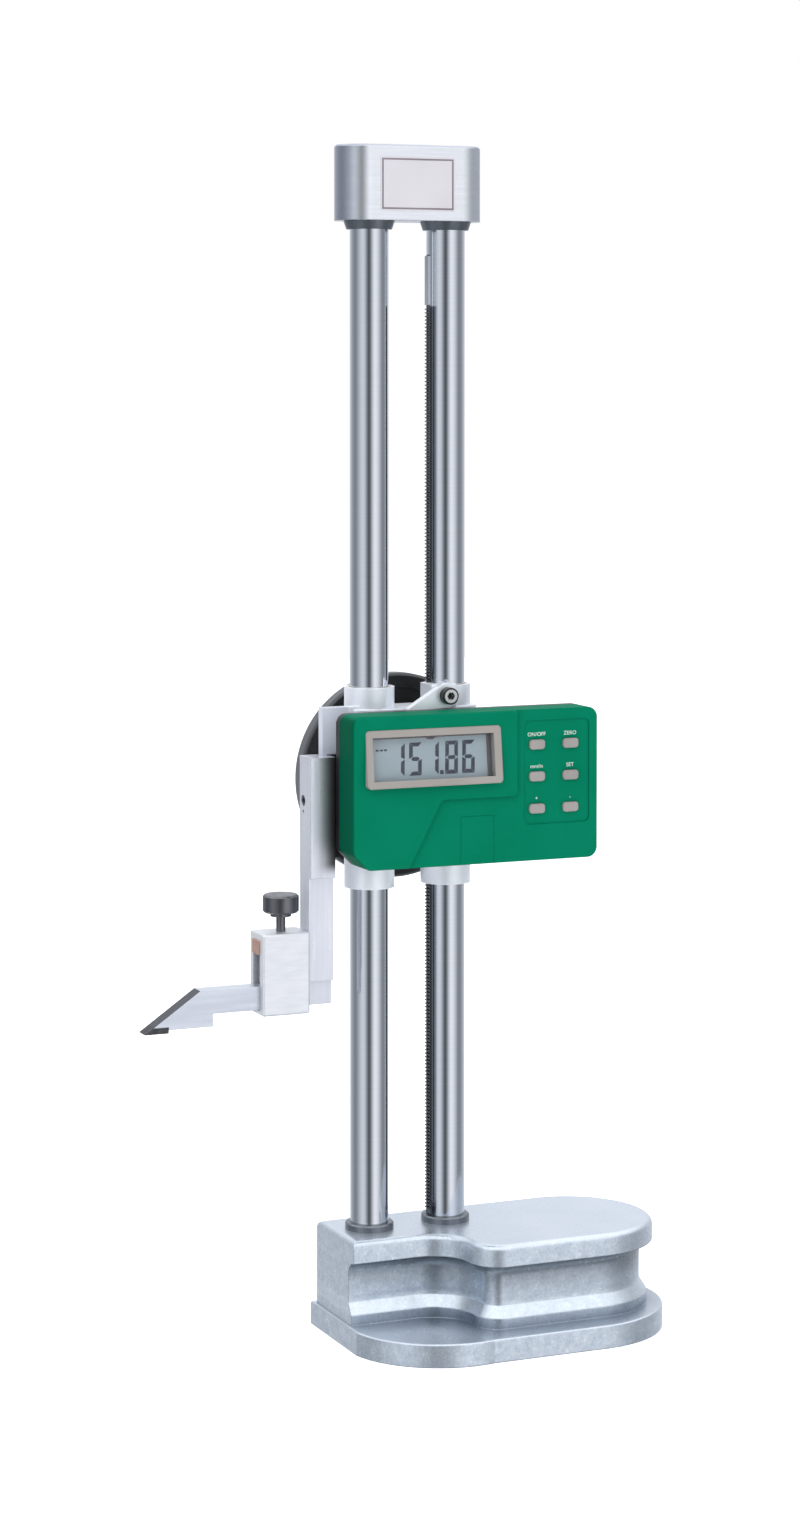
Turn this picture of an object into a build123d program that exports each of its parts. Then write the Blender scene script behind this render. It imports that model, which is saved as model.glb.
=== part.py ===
from build123d import *

import os
from math import acos, asin, atan2, cos, degrees, pi, radians, sin, tan

os.makedirs("parts", exist_ok=True)

# Twin-column digital height gauge. Millimetres, Z up, X along the line of the two columns.
# The origin is on the base's underside, midway between the columns.
# Distances named *_FORWARD are measured from the column plane towards the display (-Y).

# ---------------------------------------------------------------- columns
COLUMN_R = 8.4
COLUMN_SPACING = 36.0
COLUMN_CHAMFER = 0.8
COLUMN_X = COLUMN_SPACING / 2
SEAT_CLEARANCE = 0.02            # between pieces that are pressed or screwed together
RUNNING_CLEARANCE = 0.04         # between pieces that turn or slide on each other

# ---------------------------------------------------------------- base casting
BASE_HEIGHT = 46.5
PLATE_LEFT = -34.3
PLATE_BACK = 20.8
PLATE_NECK_FORWARD = 21.5        # front edge of the narrow part below the columns
PLATE_FORWARD = 51.5             # front edge of the broad part on the right
PLATE_END_X = 71.4               # where the straight sides meet the round right end
PLATE_EDGE_R = 3.0
NECK_END_X = -4.0                # where the narrow front edge starts to curve forward
NECK_R = 16.5
GRIP_TOP = 37.3                  # finger groove, from behind round the right end to the front
GRIP_LIP_Z = 14.5                # sloping lip at its lower edge
GRIP_LIP_HEIGHT = 5.0
GRIP_LIP_INSET = 2.6
GRIP_DEPTH = 5.8
GRIP_OVERCUT = 4.0
GRIP_START_X = -4.0              # behind, the groove runs out here
GRIP_RUN_OUT_R = 40.0
FOOT_HEIGHT = 10.0
FOOT_LEFT = -35.6
FOOT_BACK = 24.8
FOOT_FORWARD = 60.8
FOOT_END_X = 67.6
FOOT_CORNER_FORWARD = 28.0       # the front left corner is a broad arc
FOOT_CORNER_X = 14.0
FOOT_CORNER_R = 43.0
FOOT_EDGE_R = 1.0
COLUMN_SEAT_Z = 18.0             # bottom of the column sockets
BOLT_R = 4.0
BOLT_HEAD_R = 6.5
BOLT_HEAD_HEIGHT = 8.0
BOLT_COUNTERBORE = 9.5
BOLT_IN_COLUMN = 18.0
BOLT_SOCKET_ACROSS = 6.0
BOLT_SOCKET_DEPTH = 4.0
BOLT_HEAD_CLEARANCE = 0.5

# ---------------------------------------------------------------- rings, collars and cap
RING_R = 10.5
RING_HEIGHT = 3.0
RING_CHAMFER = 0.6
CAP_BOTTOM = 483.0
CAP_HEIGHT = 32.5
CAP_LENGTH = 66.6
CAP_DEPTH = 24.0
CAP_CHAMFER = 0.8
CAP_SOCKET_DEPTH = 22.4
COLLAR_R = 11.1
COLLAR_HEIGHT = 3.6
COLLAR_TAPER = 1.2
CAP_SCREW_R = 2.5
CAP_SCREW_RISE = 12.0            # above the cap's underside
CAP_SCREW_SOCKET_ACROSS = 2.5
CAP_SCREW_SOCKET_DEPTH = 2.0
CAP_SCREW_INSET = 0.4

# ---------------------------------------------------------------- rack and pinion
MODULE = 0.5
PINION_TEETH = 24
PRESSURE_ANGLE = 20.0
RACK_TIP_X = 9.0                 # crests of the rack teeth, inboard of the right column
RACK_WIDTH = 4.0
RACK_BOTTOM = 50.5
RACK_TEETH_TOP = 447.0           # plain above this
RACK_TOP = 468.3
SLOT_TOP = 468.8
SLOT_DEPTH = 3.0
TOOTH_BACKLASH = 0.08
TOOTH_CLEARANCE = 0.12           # at the root, beyond one module
PINION_FACE = 3.8
PINION_Z = 240.2
SHAFT_R = 3.0
TOOTH_PITCH = pi * MODULE
PITCH_R = MODULE * PINION_TEETH / 2
PITCH_LINE_X = RACK_TIP_X + MODULE
PINION_X = PITCH_LINE_X - PITCH_R

# ---------------------------------------------------------------- slider casting
BOSS_R = 10.9
BOSS_BOTTOM = 195.3
BOSS_TOP = 282.2
BODY_BOTTOM = 210.5
BODY_TOP = 273.0
BODY_HALF_LENGTH = 31.0
BODY_HALF_DEPTH = 11.0
BODY_CORNER_R = 9.0
BUSH_WALL = 0.8
BUSH_LENGTH = 15.0
FACE_PLATE_LEFT = -31.0
FACE_PLATE_RIGHT = 45.0
FACE_PLATE_BOTTOM = 216.0
FACE_PLATE_TOP = 266.0
FACE_PLATE_CORNER_R = 4.0
PAD_LEFT = -43.0
PAD_FORWARD = 8.0
PAD_THICKNESS = 4.5
PAD_BOTTOM = 210.0
PAD_TOP = 274.5
PINION_POCKET_GAP = 1.2
RACK_SLOT_GAP = 0.5
BEARING_BOSS_R = 9.0
BEARING_BOSS_END = 18.0
SHAFT_BUSH_WALL = 1.6
SHAFT_BUSH_LENGTH = 7.0

# ---------------------------------------------------------------- slider lock
LOCK_X = 12.0
LOCK_Z = 278.4
LOCK_LUG_LEFT = 6.1
LOCK_LUG_RIGHT = 17.9
LOCK_LUG_FORWARD = 12.0
LOCK_LUG_TOP = 283.0
LOCK_BOLT_R = 2.0
LOCK_BOLT_END = 8.9
LOCK_HEAD_R = 3.7
LOCK_HEAD_HEIGHT = 4.0
LOCK_SOCKET_ACROSS = 3.0
LOCK_SOCKET_DEPTH = 2.4
LEVER_GAP = 0.3
LEVER_THICKNESS = 3.5
LEVER_BOSS_R = 5.4
LEVER_TIP_R = 0.8
LEVER_LENGTH = 18.5
LEVER_DROOP = 17.5               # degrees below level at rest
LOCK_PAD_CLEARANCE = 0.05

# ---------------------------------------------------------------- display housing
HOUSING_LEFT = -40.0
HOUSING_RIGHT = 75.3
HOUSING_BOTTOM = 207.4
HOUSING_TOP = 272.8
HOUSING_CORNER_R = 4.5
HOUSING_CHAMFER = 7.5            # lower left corner
HOUSING_WALL = 2.0
HOUSING_EDGE_R = 1.8
HOUSING_BACK_FORWARD = 16.0
HOUSING_SPLIT_FORWARD = 20.0
HOUSING_FACE_FORWARD = 35.0
CAVITY_FORWARD = 30.5
PANEL_DROP = 1.7                 # keypad side lies lower than the display side
STEP_FOOT_X = -14.2              # the step leans up from the bottom edge, runs level and turns up
STEP_KNEE_X = 1.0
STEP_KNEE_Z = 236.0
STEP_TURN_X = 36.4
STEP_CORNER_R = 2.5
KEYPAD_LEFT = 40.4
KEYPAD_RIGHT = 71.5
KEYPAD_BOTTOM = 223.0
KEYPAD_TOP = 268.0
KEYPAD_DROP = 0.5
KEYPAD_CORNER_R = 2.5
HOUSING_SCREW_INSET = 5.6
HOUSING_SCREW_R = 1.1
HOUSING_SCREW_HEAD_R = 2.2
HOUSING_SCREW_HEAD_HEIGHT = 1.5
HOUSING_SCREW_REACH = 7.0        # past the joint between the two shells
POST_R = 2.9

# ---------------------------------------------------------------- display
BEZEL_LEFT = -34.3
BEZEL_RIGHT = 28.5
BEZEL_BOTTOM = 242.4
BEZEL_TOP = 266.9
BEZEL_SEAT_FORWARD = 32.5
BEZEL_TOP_FORWARD = 35.4
BEZEL_LEAN = 3.0                 # the lower edge stands this much further forward
BEZEL_CORNER_R = 1.8
BEZEL_CHAMFER = 0.5
WINDOW_WIDTH = 56.2
WINDOW_HEIGHT = 18.4
WINDOW_SHIFT = -0.4
WINDOW_DEPTH = 2.2
GLASS_THICKNESS = 1.0
GLASS_BORDER = 1.4
LCD_GAP = 0.3                    # air between the pane and the display

# ---------------------------------------------------------------- electronics
BOARD_FORWARD = 25.5             # component side
BOARD_THICKNESS = 1.5
BOARD_GAP = 1.2
BOARD_POST_R = 2.0
BOARD_POST_LEFT = -24.0
BOARD_POST_RIGHT = 57.0
BOARD_POST_BOTTOM = 217.5
BOARD_POST_TOP = 265.0
SWITCH_SIZE = 6.0
SWITCH_HEIGHT = 2.6
ENCODER_R = 9.0
ENCODER_THICKNESS = 1.0
ENCODER_FORWARD = 22.6
SHAFT_PASSAGE_R = 5.5

# ---------------------------------------------------------------- keys
KEY_COLUMNS = (46.5, 62.5)
KEY_ROWS = (257.5, 243.7, 229.8)
KEY_NAMES = (
    "key_power", "key_zero",
    "key_units", "key_preset",
    "key_plus", "key_minus",
)
KEY_WIDTH = 7.3
KEY_HEIGHT = 4.2
KEY_CORNER_R = 1.4
KEY_STAND_OUT = 1.3
KEY_CHAMFER = 0.4
KEY_CLEARANCE = 0.08
KEY_FLANGE = 1.0
KEY_FLANGE_THICKNESS = 1.0
KEY_TRAVEL = 0.8

# ---------------------------------------------------------------- battery
DOOR_LEFT = 10.6
DOOR_RIGHT = 26.0
DOOR_TOP = 228.0
DOOR_THICKNESS = 1.1
DOOR_TONGUE = 1.0                # how far each side tongue runs in its groove
DOOR_TONGUE_THICKNESS = 0.9
DOOR_CLEARANCE = 0.1
BATTERY_R = 5.8
BATTERY_THICKNESS = 5.0
BATTERY_Z = 220.5
CLIP_THICKNESS = 0.5
CLIP_WIDTH = 6.0

# ---------------------------------------------------------------- arm
ARM_LEFT = -51.0
ARM_RIGHT = -39.8
ARM_TOP = 254.0
ARM_HEAD_BOTTOM = 202.4          # the head is deeper than the bar below it
ARM_HEAD_FORWARD = 14.8
ARM_HEAD_BACK_FORWARD = 1.8
ARM_BAR_FORWARD = 12.0
ARM_BAR_BACK_FORWARD = 2.0
ARM_BAR_BOTTOM = 158.0
ARM_TOE_BOTTOM = 147.8
ARM_TOE_INSET = 2.2
ARM_SCREW_R = 1.2
ARM_SCREW_HEAD_R = 2.4
ARM_SCREW_HEAD_DEPTH = 2.2
ARM_SCREW_LENGTH = 11.0
ARM_SCREW_Z = 235.0
ARM_SCREW_SOCKET_ACROSS = 2.0
ARM_PIN_R = 0.8
ARM_PIN_Z = 230.3
ARM_PIN_LENGTH = 12.0
ARM_PIN_INSET = 0.3
NOSE_LEFT = -70.5
NOSE_TOP = 171.0

# ---------------------------------------------------------------- scriber and clamp
SCRIBER_FORWARD = 7.0            # its centre plane
SCRIBER_WIDTH = 8.0
SCRIBER_HEIGHT = 10.0
SCRIBER_BOTTOM = 147.6
SCRIBER_RIGHT = -51.4
BLADE_BOTTOM = 142.2
BLADE_ROOT_X = -94.0
BLADE_BEVEL_X = -99.6
TIP_X = -124.2
TIP_Z = 140.8
TIP_RIGHT = -113.7
TIP_HEIGHT = 2.6
CLAMP_LEFT = -72.8
CLAMP_RIGHT = -51.5
CLAMP_BOTTOM = 145.2
CLAMP_TOP = 180.0
CLAMP_SIDE_WALL = 3.8
CLAMP_FLOOR = 2.0
CLAMP_ROOF = 3.0
CLAMP_CLEARANCE = 0.1
CLAMP_CHAMFER = 0.6
CLAMP_PAD_LEFT = -73.4
CLAMP_PAD_RIGHT = -55.0
THUMB_X = -61.8
THUMB_STEM_R = 2.0
THUMB_HEAD_R = 7.75
THUMB_HEAD_BOTTOM = 188.0
THUMB_HEAD_HEIGHT = 7.7
THUMB_NECK_R = 4.5
THUMB_NECK_HEIGHT = 1.6
THUMB_CHAMFER = 0.8

# ---------------------------------------------------------------- handwheel
WHEEL_R = 45.2
WHEEL_FRONT = 20.5
RIM_DEPTH = 8.0
RIM_WIDTH = 6.4
WEB_THICKNESS = 4.0
HUB_R = 10.0
HUB_FRONT = 18.6
HUB_BACK = 31.0
WHEEL_CHAMFER = 1.2
WHEEL_SCREW_R = 1.6
WHEEL_SCREW_HEAD_R = 3.4
WHEEL_SCREW_HEAD_HEIGHT = 2.4
WHEEL_SCREW_LENGTH = 9.0
WASHER_R = 6.0
WASHER_THICKNESS = 1.0
CRANK_R = 34.6
CRANK_ANGLE = 176.5              # seen from the display side, from +X towards +Z
CRANK_PIN_R = 1.5
CRANK_BOSS_R = 4.6
KNOB_LENGTH = 16.0
KNOB_ROOT_R = 2.8
KNOB_END_R = 3.9
KNOB_GAP = 0.3
KNOB_HEAD_R = 2.4
KNOB_HEAD_HEIGHT = 1.6


def front(forward):
    """Vertical plane that faces the display side, so many millimetres in front of the columns."""
    return Plane.XZ.offset(forward)


def column_places():
    """The two column axes in plan."""
    return Locations((-COLUMN_X, 0), (COLUMN_X, 0))


# ================================================================ base
def plate_path(back_left, front_left):
    """Edge of the top plate, from a place on its back round the right end to a place on its front."""
    belly_r = PLATE_FORWARD - PLATE_NECK_FORWARD - NECK_R
    end_mid = (PLATE_BACK - PLATE_FORWARD) / 2
    end_r = (PLATE_BACK + PLATE_FORWARD) / 2
    belly_x = NECK_END_X + NECK_R + belly_r
    turn = (belly_x - belly_r, belly_r - PLATE_FORWARD)
    with BuildLine() as edge:
        Line((back_left, PLATE_BACK), (PLATE_END_X, PLATE_BACK))
        ThreePointArc(
            (PLATE_END_X, PLATE_BACK), (PLATE_END_X + end_r, end_mid), (PLATE_END_X, -PLATE_FORWARD)
        )
        Line((PLATE_END_X, -PLATE_FORWARD), (belly_x, -PLATE_FORWARD))
        TangentArc((belly_x, -PLATE_FORWARD), turn, tangent=(-1, 0))
        TangentArc(turn, (NECK_END_X, -PLATE_NECK_FORWARD), tangent=(0, 1))
        Line((NECK_END_X, -PLATE_NECK_FORWARD), (front_left, -PLATE_NECK_FORWARD))
    return edge


def plate_profile():
    """Top plate outline on the ground."""
    with BuildSketch() as profile:
        add(plate_path(PLATE_LEFT, PLATE_LEFT).line)
        with BuildLine():
            Line((PLATE_LEFT, -PLATE_NECK_FORWARD), (PLATE_LEFT, PLATE_BACK))
        make_face()
    return profile.sketch


def grip_path(swing):
    """Path of the finger groove: it swings in from behind, rounds the right end and ends at the left."""
    run_in = (GRIP_START_X - GRIP_RUN_OUT_R * sin(swing), PLATE_BACK + GRIP_DEPTH + GRIP_OVERCUT)
    with BuildLine() as path:
        TangentArc(run_in, (GRIP_START_X, PLATE_BACK), tangent=(cos(swing), -sin(swing)))
        add(plate_path(GRIP_START_X, PLATE_LEFT - GRIP_OVERCUT).line)
    return path.line


def grip_section(plane):
    """Section of the groove: a round undercut, an upright wall and a sloping lip above the foot."""
    with BuildSketch(plane) as section:
        with BuildLine():
            ThreePointArc(
                (0, GRIP_TOP),
                (-GRIP_DEPTH * cos(pi / 4), GRIP_TOP - GRIP_DEPTH * (1 - cos(pi / 4))),
                (-GRIP_DEPTH, GRIP_TOP - GRIP_DEPTH),
            )
            Polyline(
                (-GRIP_DEPTH, GRIP_TOP - GRIP_DEPTH),
                (-GRIP_DEPTH, GRIP_LIP_Z + GRIP_LIP_HEIGHT),
                (-GRIP_LIP_INSET, GRIP_LIP_Z),
                (-GRIP_LIP_INSET, FOOT_HEIGHT),
                (GRIP_OVERCUT, FOOT_HEIGHT),
                (GRIP_OVERCUT, GRIP_TOP),
                (0, GRIP_TOP),
            )
        make_face()
    return section.sketch


def foot_profile():
    """Outline of the foot flange on the ground."""
    end_mid = (FOOT_BACK - FOOT_FORWARD) / 2
    end_r = (FOOT_BACK + FOOT_FORWARD) / 2
    with BuildSketch() as profile:
        with BuildLine():
            Line((FOOT_LEFT, FOOT_BACK), (FOOT_END_X, FOOT_BACK))
            ThreePointArc(
                (FOOT_END_X, FOOT_BACK), (FOOT_END_X + end_r, end_mid), (FOOT_END_X, -FOOT_FORWARD)
            )
            Line((FOOT_END_X, -FOOT_FORWARD), (FOOT_CORNER_X, -FOOT_FORWARD))
            RadiusArc(
                (FOOT_CORNER_X, -FOOT_FORWARD), (FOOT_LEFT, -FOOT_CORNER_FORWARD), FOOT_CORNER_R
            )
            Line((FOOT_LEFT, -FOOT_CORNER_FORWARD), (FOOT_LEFT, FOOT_BACK))
        make_face()
    return profile.sketch


def foot_blank():
    """The foot flange with its upper edge rounded."""
    with BuildPart() as blank:
        extrude(foot_profile(), amount=FOOT_HEIGHT)
        fillet(blank.faces().sort_by(Axis.Z)[-1].edges(), radius=FOOT_EDGE_R)
    return blank.part


with BuildPart() as base:
    extrude(plate_profile(), amount=BASE_HEIGHT)
    fillet(base.faces().sort_by(Axis.Z)[-1].edges(), radius=PLATE_EDGE_R)
    run_in_swing = acos(1 - (GRIP_DEPTH + GRIP_OVERCUT) / GRIP_RUN_OUT_R)
    groove_path = grip_path(run_in_swing)
    groove_start = Plane(
        origin=groove_path @ 0,
        x_dir=(sin(run_in_swing), cos(run_in_swing), 0),
        z_dir=(cos(run_in_swing), -sin(run_in_swing), 0),
    )
    sweep(sections=grip_section(groove_start), path=groove_path, mode=Mode.SUBTRACT)
    add(foot_blank())
    with BuildSketch(Plane.XY.offset(BASE_HEIGHT)):
        with column_places():
            Circle(COLUMN_R + SEAT_CLEARANCE)
    extrude(amount=COLUMN_SEAT_Z - BASE_HEIGHT, mode=Mode.SUBTRACT)
    with BuildSketch():
        with column_places():
            Circle(BOLT_R + SEAT_CLEARANCE)
    extrude(amount=COLUMN_SEAT_Z, mode=Mode.SUBTRACT)
    with BuildSketch():
        with column_places():
            Circle(BOLT_HEAD_R + BOLT_HEAD_CLEARANCE)
    extrude(amount=BOLT_COUNTERBORE, mode=Mode.SUBTRACT)
base.part.label = "base"
export_step(base.part, "parts/base.step")

with BuildPart() as column_bolts:
    with BuildSketch(Plane.XY.offset(BOLT_COUNTERBORE)):
        with column_places():
            Circle(BOLT_HEAD_R)
    extrude(amount=-BOLT_HEAD_HEIGHT)
    with BuildSketch(Plane.XY.offset(BOLT_COUNTERBORE)):
        with column_places():
            Circle(BOLT_R)
    extrude(amount=COLUMN_SEAT_Z + BOLT_IN_COLUMN - BOLT_COUNTERBORE)
    with BuildSketch(Plane.XY.offset(BOLT_COUNTERBORE - BOLT_HEAD_HEIGHT)):
        with column_places():
            RegularPolygon(BOLT_SOCKET_ACROSS / 2, 6, major_radius=False)
    extrude(amount=BOLT_SOCKET_DEPTH, mode=Mode.SUBTRACT)
column_bolts.part.label = "column_bolts"
export_step(column_bolts.part, "parts/column_bolts.step")

# ================================================================ columns
COLUMN_TOP = CAP_BOTTOM + CAP_SOCKET_DEPTH


def column_blank(x):
    """Ground round column with chamfered ends and a tapped hole in its foot."""
    with BuildPart() as blank:
        with BuildSketch(Plane.XY.offset(COLUMN_SEAT_Z)):
            with Locations((x, 0)):
                Circle(COLUMN_R)
        extrude(amount=COLUMN_TOP - COLUMN_SEAT_Z)
        chamfer(blank.edges().filter_by(GeomType.CIRCLE), length=COLUMN_CHAMFER)
        with BuildSketch(Plane.XY.offset(COLUMN_SEAT_Z)):
            with Locations((x, 0)):
                Circle(BOLT_R + SEAT_CLEARANCE)
        extrude(amount=BOLT_IN_COLUMN + BOLT_HEAD_CLEARANCE, mode=Mode.SUBTRACT)
    return blank.part


with BuildPart() as column_left:
    add(column_blank(-COLUMN_X))
column_left.part.label = "column_left"
export_step(column_left.part, "parts/column_left.step")

SLOT_FLOOR_X = COLUMN_X - COLUMN_R + SLOT_DEPTH
with BuildPart() as column_right:
    add(column_blank(COLUMN_X))
    with BuildSketch(Plane.YZ.offset(SLOT_FLOOR_X)):
        with Locations((0, (RACK_BOTTOM + SLOT_TOP) / 2)):
            Rectangle(RACK_WIDTH + 2 * SEAT_CLEARANCE, SLOT_TOP - RACK_BOTTOM)
    extrude(amount=-COLUMN_R, mode=Mode.SUBTRACT)
column_right.part.label = "column_right"
export_step(column_right.part, "parts/column_right.step")

with BuildPart() as base_rings:
    with BuildSketch(Plane.XY.offset(BASE_HEIGHT)):
        with column_places():
            Circle(RING_R)
            Circle(COLUMN_R + SEAT_CLEARANCE, mode=Mode.SUBTRACT)
    extrude(amount=RING_HEIGHT)
    outer_top = base_rings.edges().filter_by(GeomType.CIRCLE).group_by(Axis.Z)[-1]
    chamfer(outer_top.group_by(SortBy.RADIUS)[-1], length=RING_CHAMFER)
base_rings.part.label = "base_rings"
export_step(base_rings.part, "parts/base_rings.step")

# ================================================================ cap and collars
with BuildPart() as cap_collars:
    with BuildSketch(Plane.XY.offset(CAP_BOTTOM)):
        with column_places():
            Circle(COLLAR_R)
    extrude(amount=-COLLAR_HEIGHT, taper=degrees(atan2(COLLAR_TAPER, COLLAR_HEIGHT)))
    with BuildSketch(Plane.XY.offset(CAP_BOTTOM)):
        with column_places():
            Circle(COLUMN_R + SEAT_CLEARANCE)
    extrude(amount=-COLLAR_HEIGHT, mode=Mode.SUBTRACT)
cap_collars.part.label = "cap_collars"
export_step(cap_collars.part, "parts/cap_collars.step")

with BuildPart() as top_cap:
    with BuildSketch(Plane.XY.offset(CAP_BOTTOM)):
        SlotOverall(CAP_LENGTH, CAP_DEPTH)
    extrude(amount=CAP_HEIGHT)
    chamfer(top_cap.faces().sort_by(Axis.Z)[-1].edges(), length=CAP_CHAMFER)
    with BuildSketch(Plane.XY.offset(CAP_BOTTOM)):
        with column_places():
            Circle(COLUMN_R + SEAT_CLEARANCE)
    extrude(amount=CAP_SOCKET_DEPTH, mode=Mode.SUBTRACT)
    with BuildSketch(front(0)):
        with Locations((-COLUMN_X, CAP_BOTTOM + CAP_SCREW_RISE), (COLUMN_X, CAP_BOTTOM + CAP_SCREW_RISE)):
            Circle(CAP_SCREW_R)
    extrude(amount=-CAP_DEPTH, mode=Mode.SUBTRACT)
top_cap.part.label = "top_cap"
export_step(top_cap.part, "parts/top_cap.step")

with BuildPart() as cap_screws:
    grub_end = CAP_DEPTH / 2 - CAP_SCREW_INSET
    grub_places = [(side * COLUMN_X, CAP_BOTTOM + CAP_SCREW_RISE) for side in (-1, 1)]
    with BuildSketch(front(-grub_end)):
        with Locations(*grub_places):
            Circle(CAP_SCREW_R - SEAT_CLEARANCE)
    extrude(amount=grub_end - COLUMN_R)
    with BuildSketch(front(-grub_end)):
        with Locations(*grub_places):
            RegularPolygon(CAP_SCREW_SOCKET_ACROSS / 2, 6, major_radius=False)
    extrude(amount=CAP_SCREW_SOCKET_DEPTH, mode=Mode.SUBTRACT)
cap_screws.part.label = "cap_screws"
export_step(cap_screws.part, "parts/cap_screws.step")

# ================================================================ rack and pinion
FLANK = tan(radians(PRESSURE_ANGLE))


def rack_profile():
    """Side view of the rack: straight-flanked teeth that face the pinion, and a plain upper end."""
    half_pitch_width = TOOTH_PITCH / 4 - TOOTH_BACKLASH / 2
    crest_half = half_pitch_width - MODULE * FLANK
    root_half = half_pitch_width + (MODULE + TOOTH_CLEARANCE) * FLANK
    root_x = PITCH_LINE_X + MODULE + TOOTH_CLEARANCE
    first = int((RACK_BOTTOM - PINION_Z) / TOOTH_PITCH)
    last = int((RACK_TEETH_TOP - TOOTH_PITCH - PINION_Z) / TOOTH_PITCH)
    points = [(SLOT_FLOOR_X, RACK_BOTTOM), (root_x, RACK_BOTTOM)]
    for index in range(first, last + 1):
        middle = PINION_Z + (index + 0.5) * TOOTH_PITCH
        points.append((root_x, middle - root_half))
        points.append((RACK_TIP_X, middle - crest_half))
        points.append((RACK_TIP_X, middle + crest_half))
        points.append((root_x, middle + root_half))
    points.append((root_x, RACK_TEETH_TOP))
    points.append((RACK_TIP_X, RACK_TEETH_TOP))
    points.append((RACK_TIP_X, RACK_TOP))
    points.append((SLOT_FLOOR_X, RACK_TOP))
    return points


with BuildPart() as rack:
    with BuildSketch(front(-RACK_WIDTH / 2)):
        with BuildLine():
            Polyline(*rack_profile(), close=True)
        make_face()
    extrude(amount=RACK_WIDTH)
rack.part.label = "rack"
export_step(rack.part, "parts/rack.step")


def involute_point(base_r, roll, start_angle, side):
    """Point on an involute flank after unrolling by an angle, on either side of a tooth."""
    reach = base_r * (1 + roll**2) ** 0.5
    turn = roll - atan2(roll, 1)
    angle = start_angle + side * turn
    return (reach * cos(angle), reach * sin(angle))


def pinion_tooth():
    """One tooth that points along +X, from inside the root circle to the tip circle."""
    pressure = radians(PRESSURE_ANGLE)
    base_r = PITCH_R * cos(pressure)
    tip_r = PITCH_R + MODULE
    root_r = PITCH_R - MODULE - TOOTH_CLEARANCE
    half_thick = (TOOTH_PITCH / 2 - TOOTH_BACKLASH) / 2 / PITCH_R
    base_angle = half_thick + FLANK - pressure
    last_roll = ((tip_r / base_r) ** 2 - 1) ** 0.5
    rolls = [last_roll * step / 4 for step in range(5)]
    lower = [involute_point(base_r, roll, -base_angle, 1) for roll in rolls]
    upper = [involute_point(base_r, roll, base_angle, -1) for roll in reversed(rolls)]
    inner_r = root_r - MODULE / 2
    start = (inner_r * cos(base_angle), -inner_r * sin(base_angle))
    end = (inner_r * cos(base_angle), inner_r * sin(base_angle))
    return [start, *lower, *upper, end]


with BuildPart() as pinion:
    with BuildSketch(front(-PINION_FACE / 2)):
        with Locations((PINION_X, PINION_Z)):
            Circle(PITCH_R - MODULE - TOOTH_CLEARANCE)
            with PolarLocations(0, PINION_TEETH):
                Polygon(*pinion_tooth(), align=None)
            Circle(SHAFT_R + SEAT_CLEARANCE, mode=Mode.SUBTRACT)
    extrude(amount=PINION_FACE)
pinion.part.label = "pinion"
export_step(pinion.part, "parts/pinion.step")

# ================================================================ slider casting
BUSH_R = COLUMN_R + BUSH_WALL
ARM_SCREW_FORWARD = PAD_FORWARD - PAD_THICKNESS / 2
POCKET_HALF = PINION_FACE / 2 + PINION_POCKET_GAP
POCKET_R = PITCH_R + MODULE + PINION_POCKET_GAP
SHAFT_BUSH_R = SHAFT_R + SHAFT_BUSH_WALL

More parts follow.
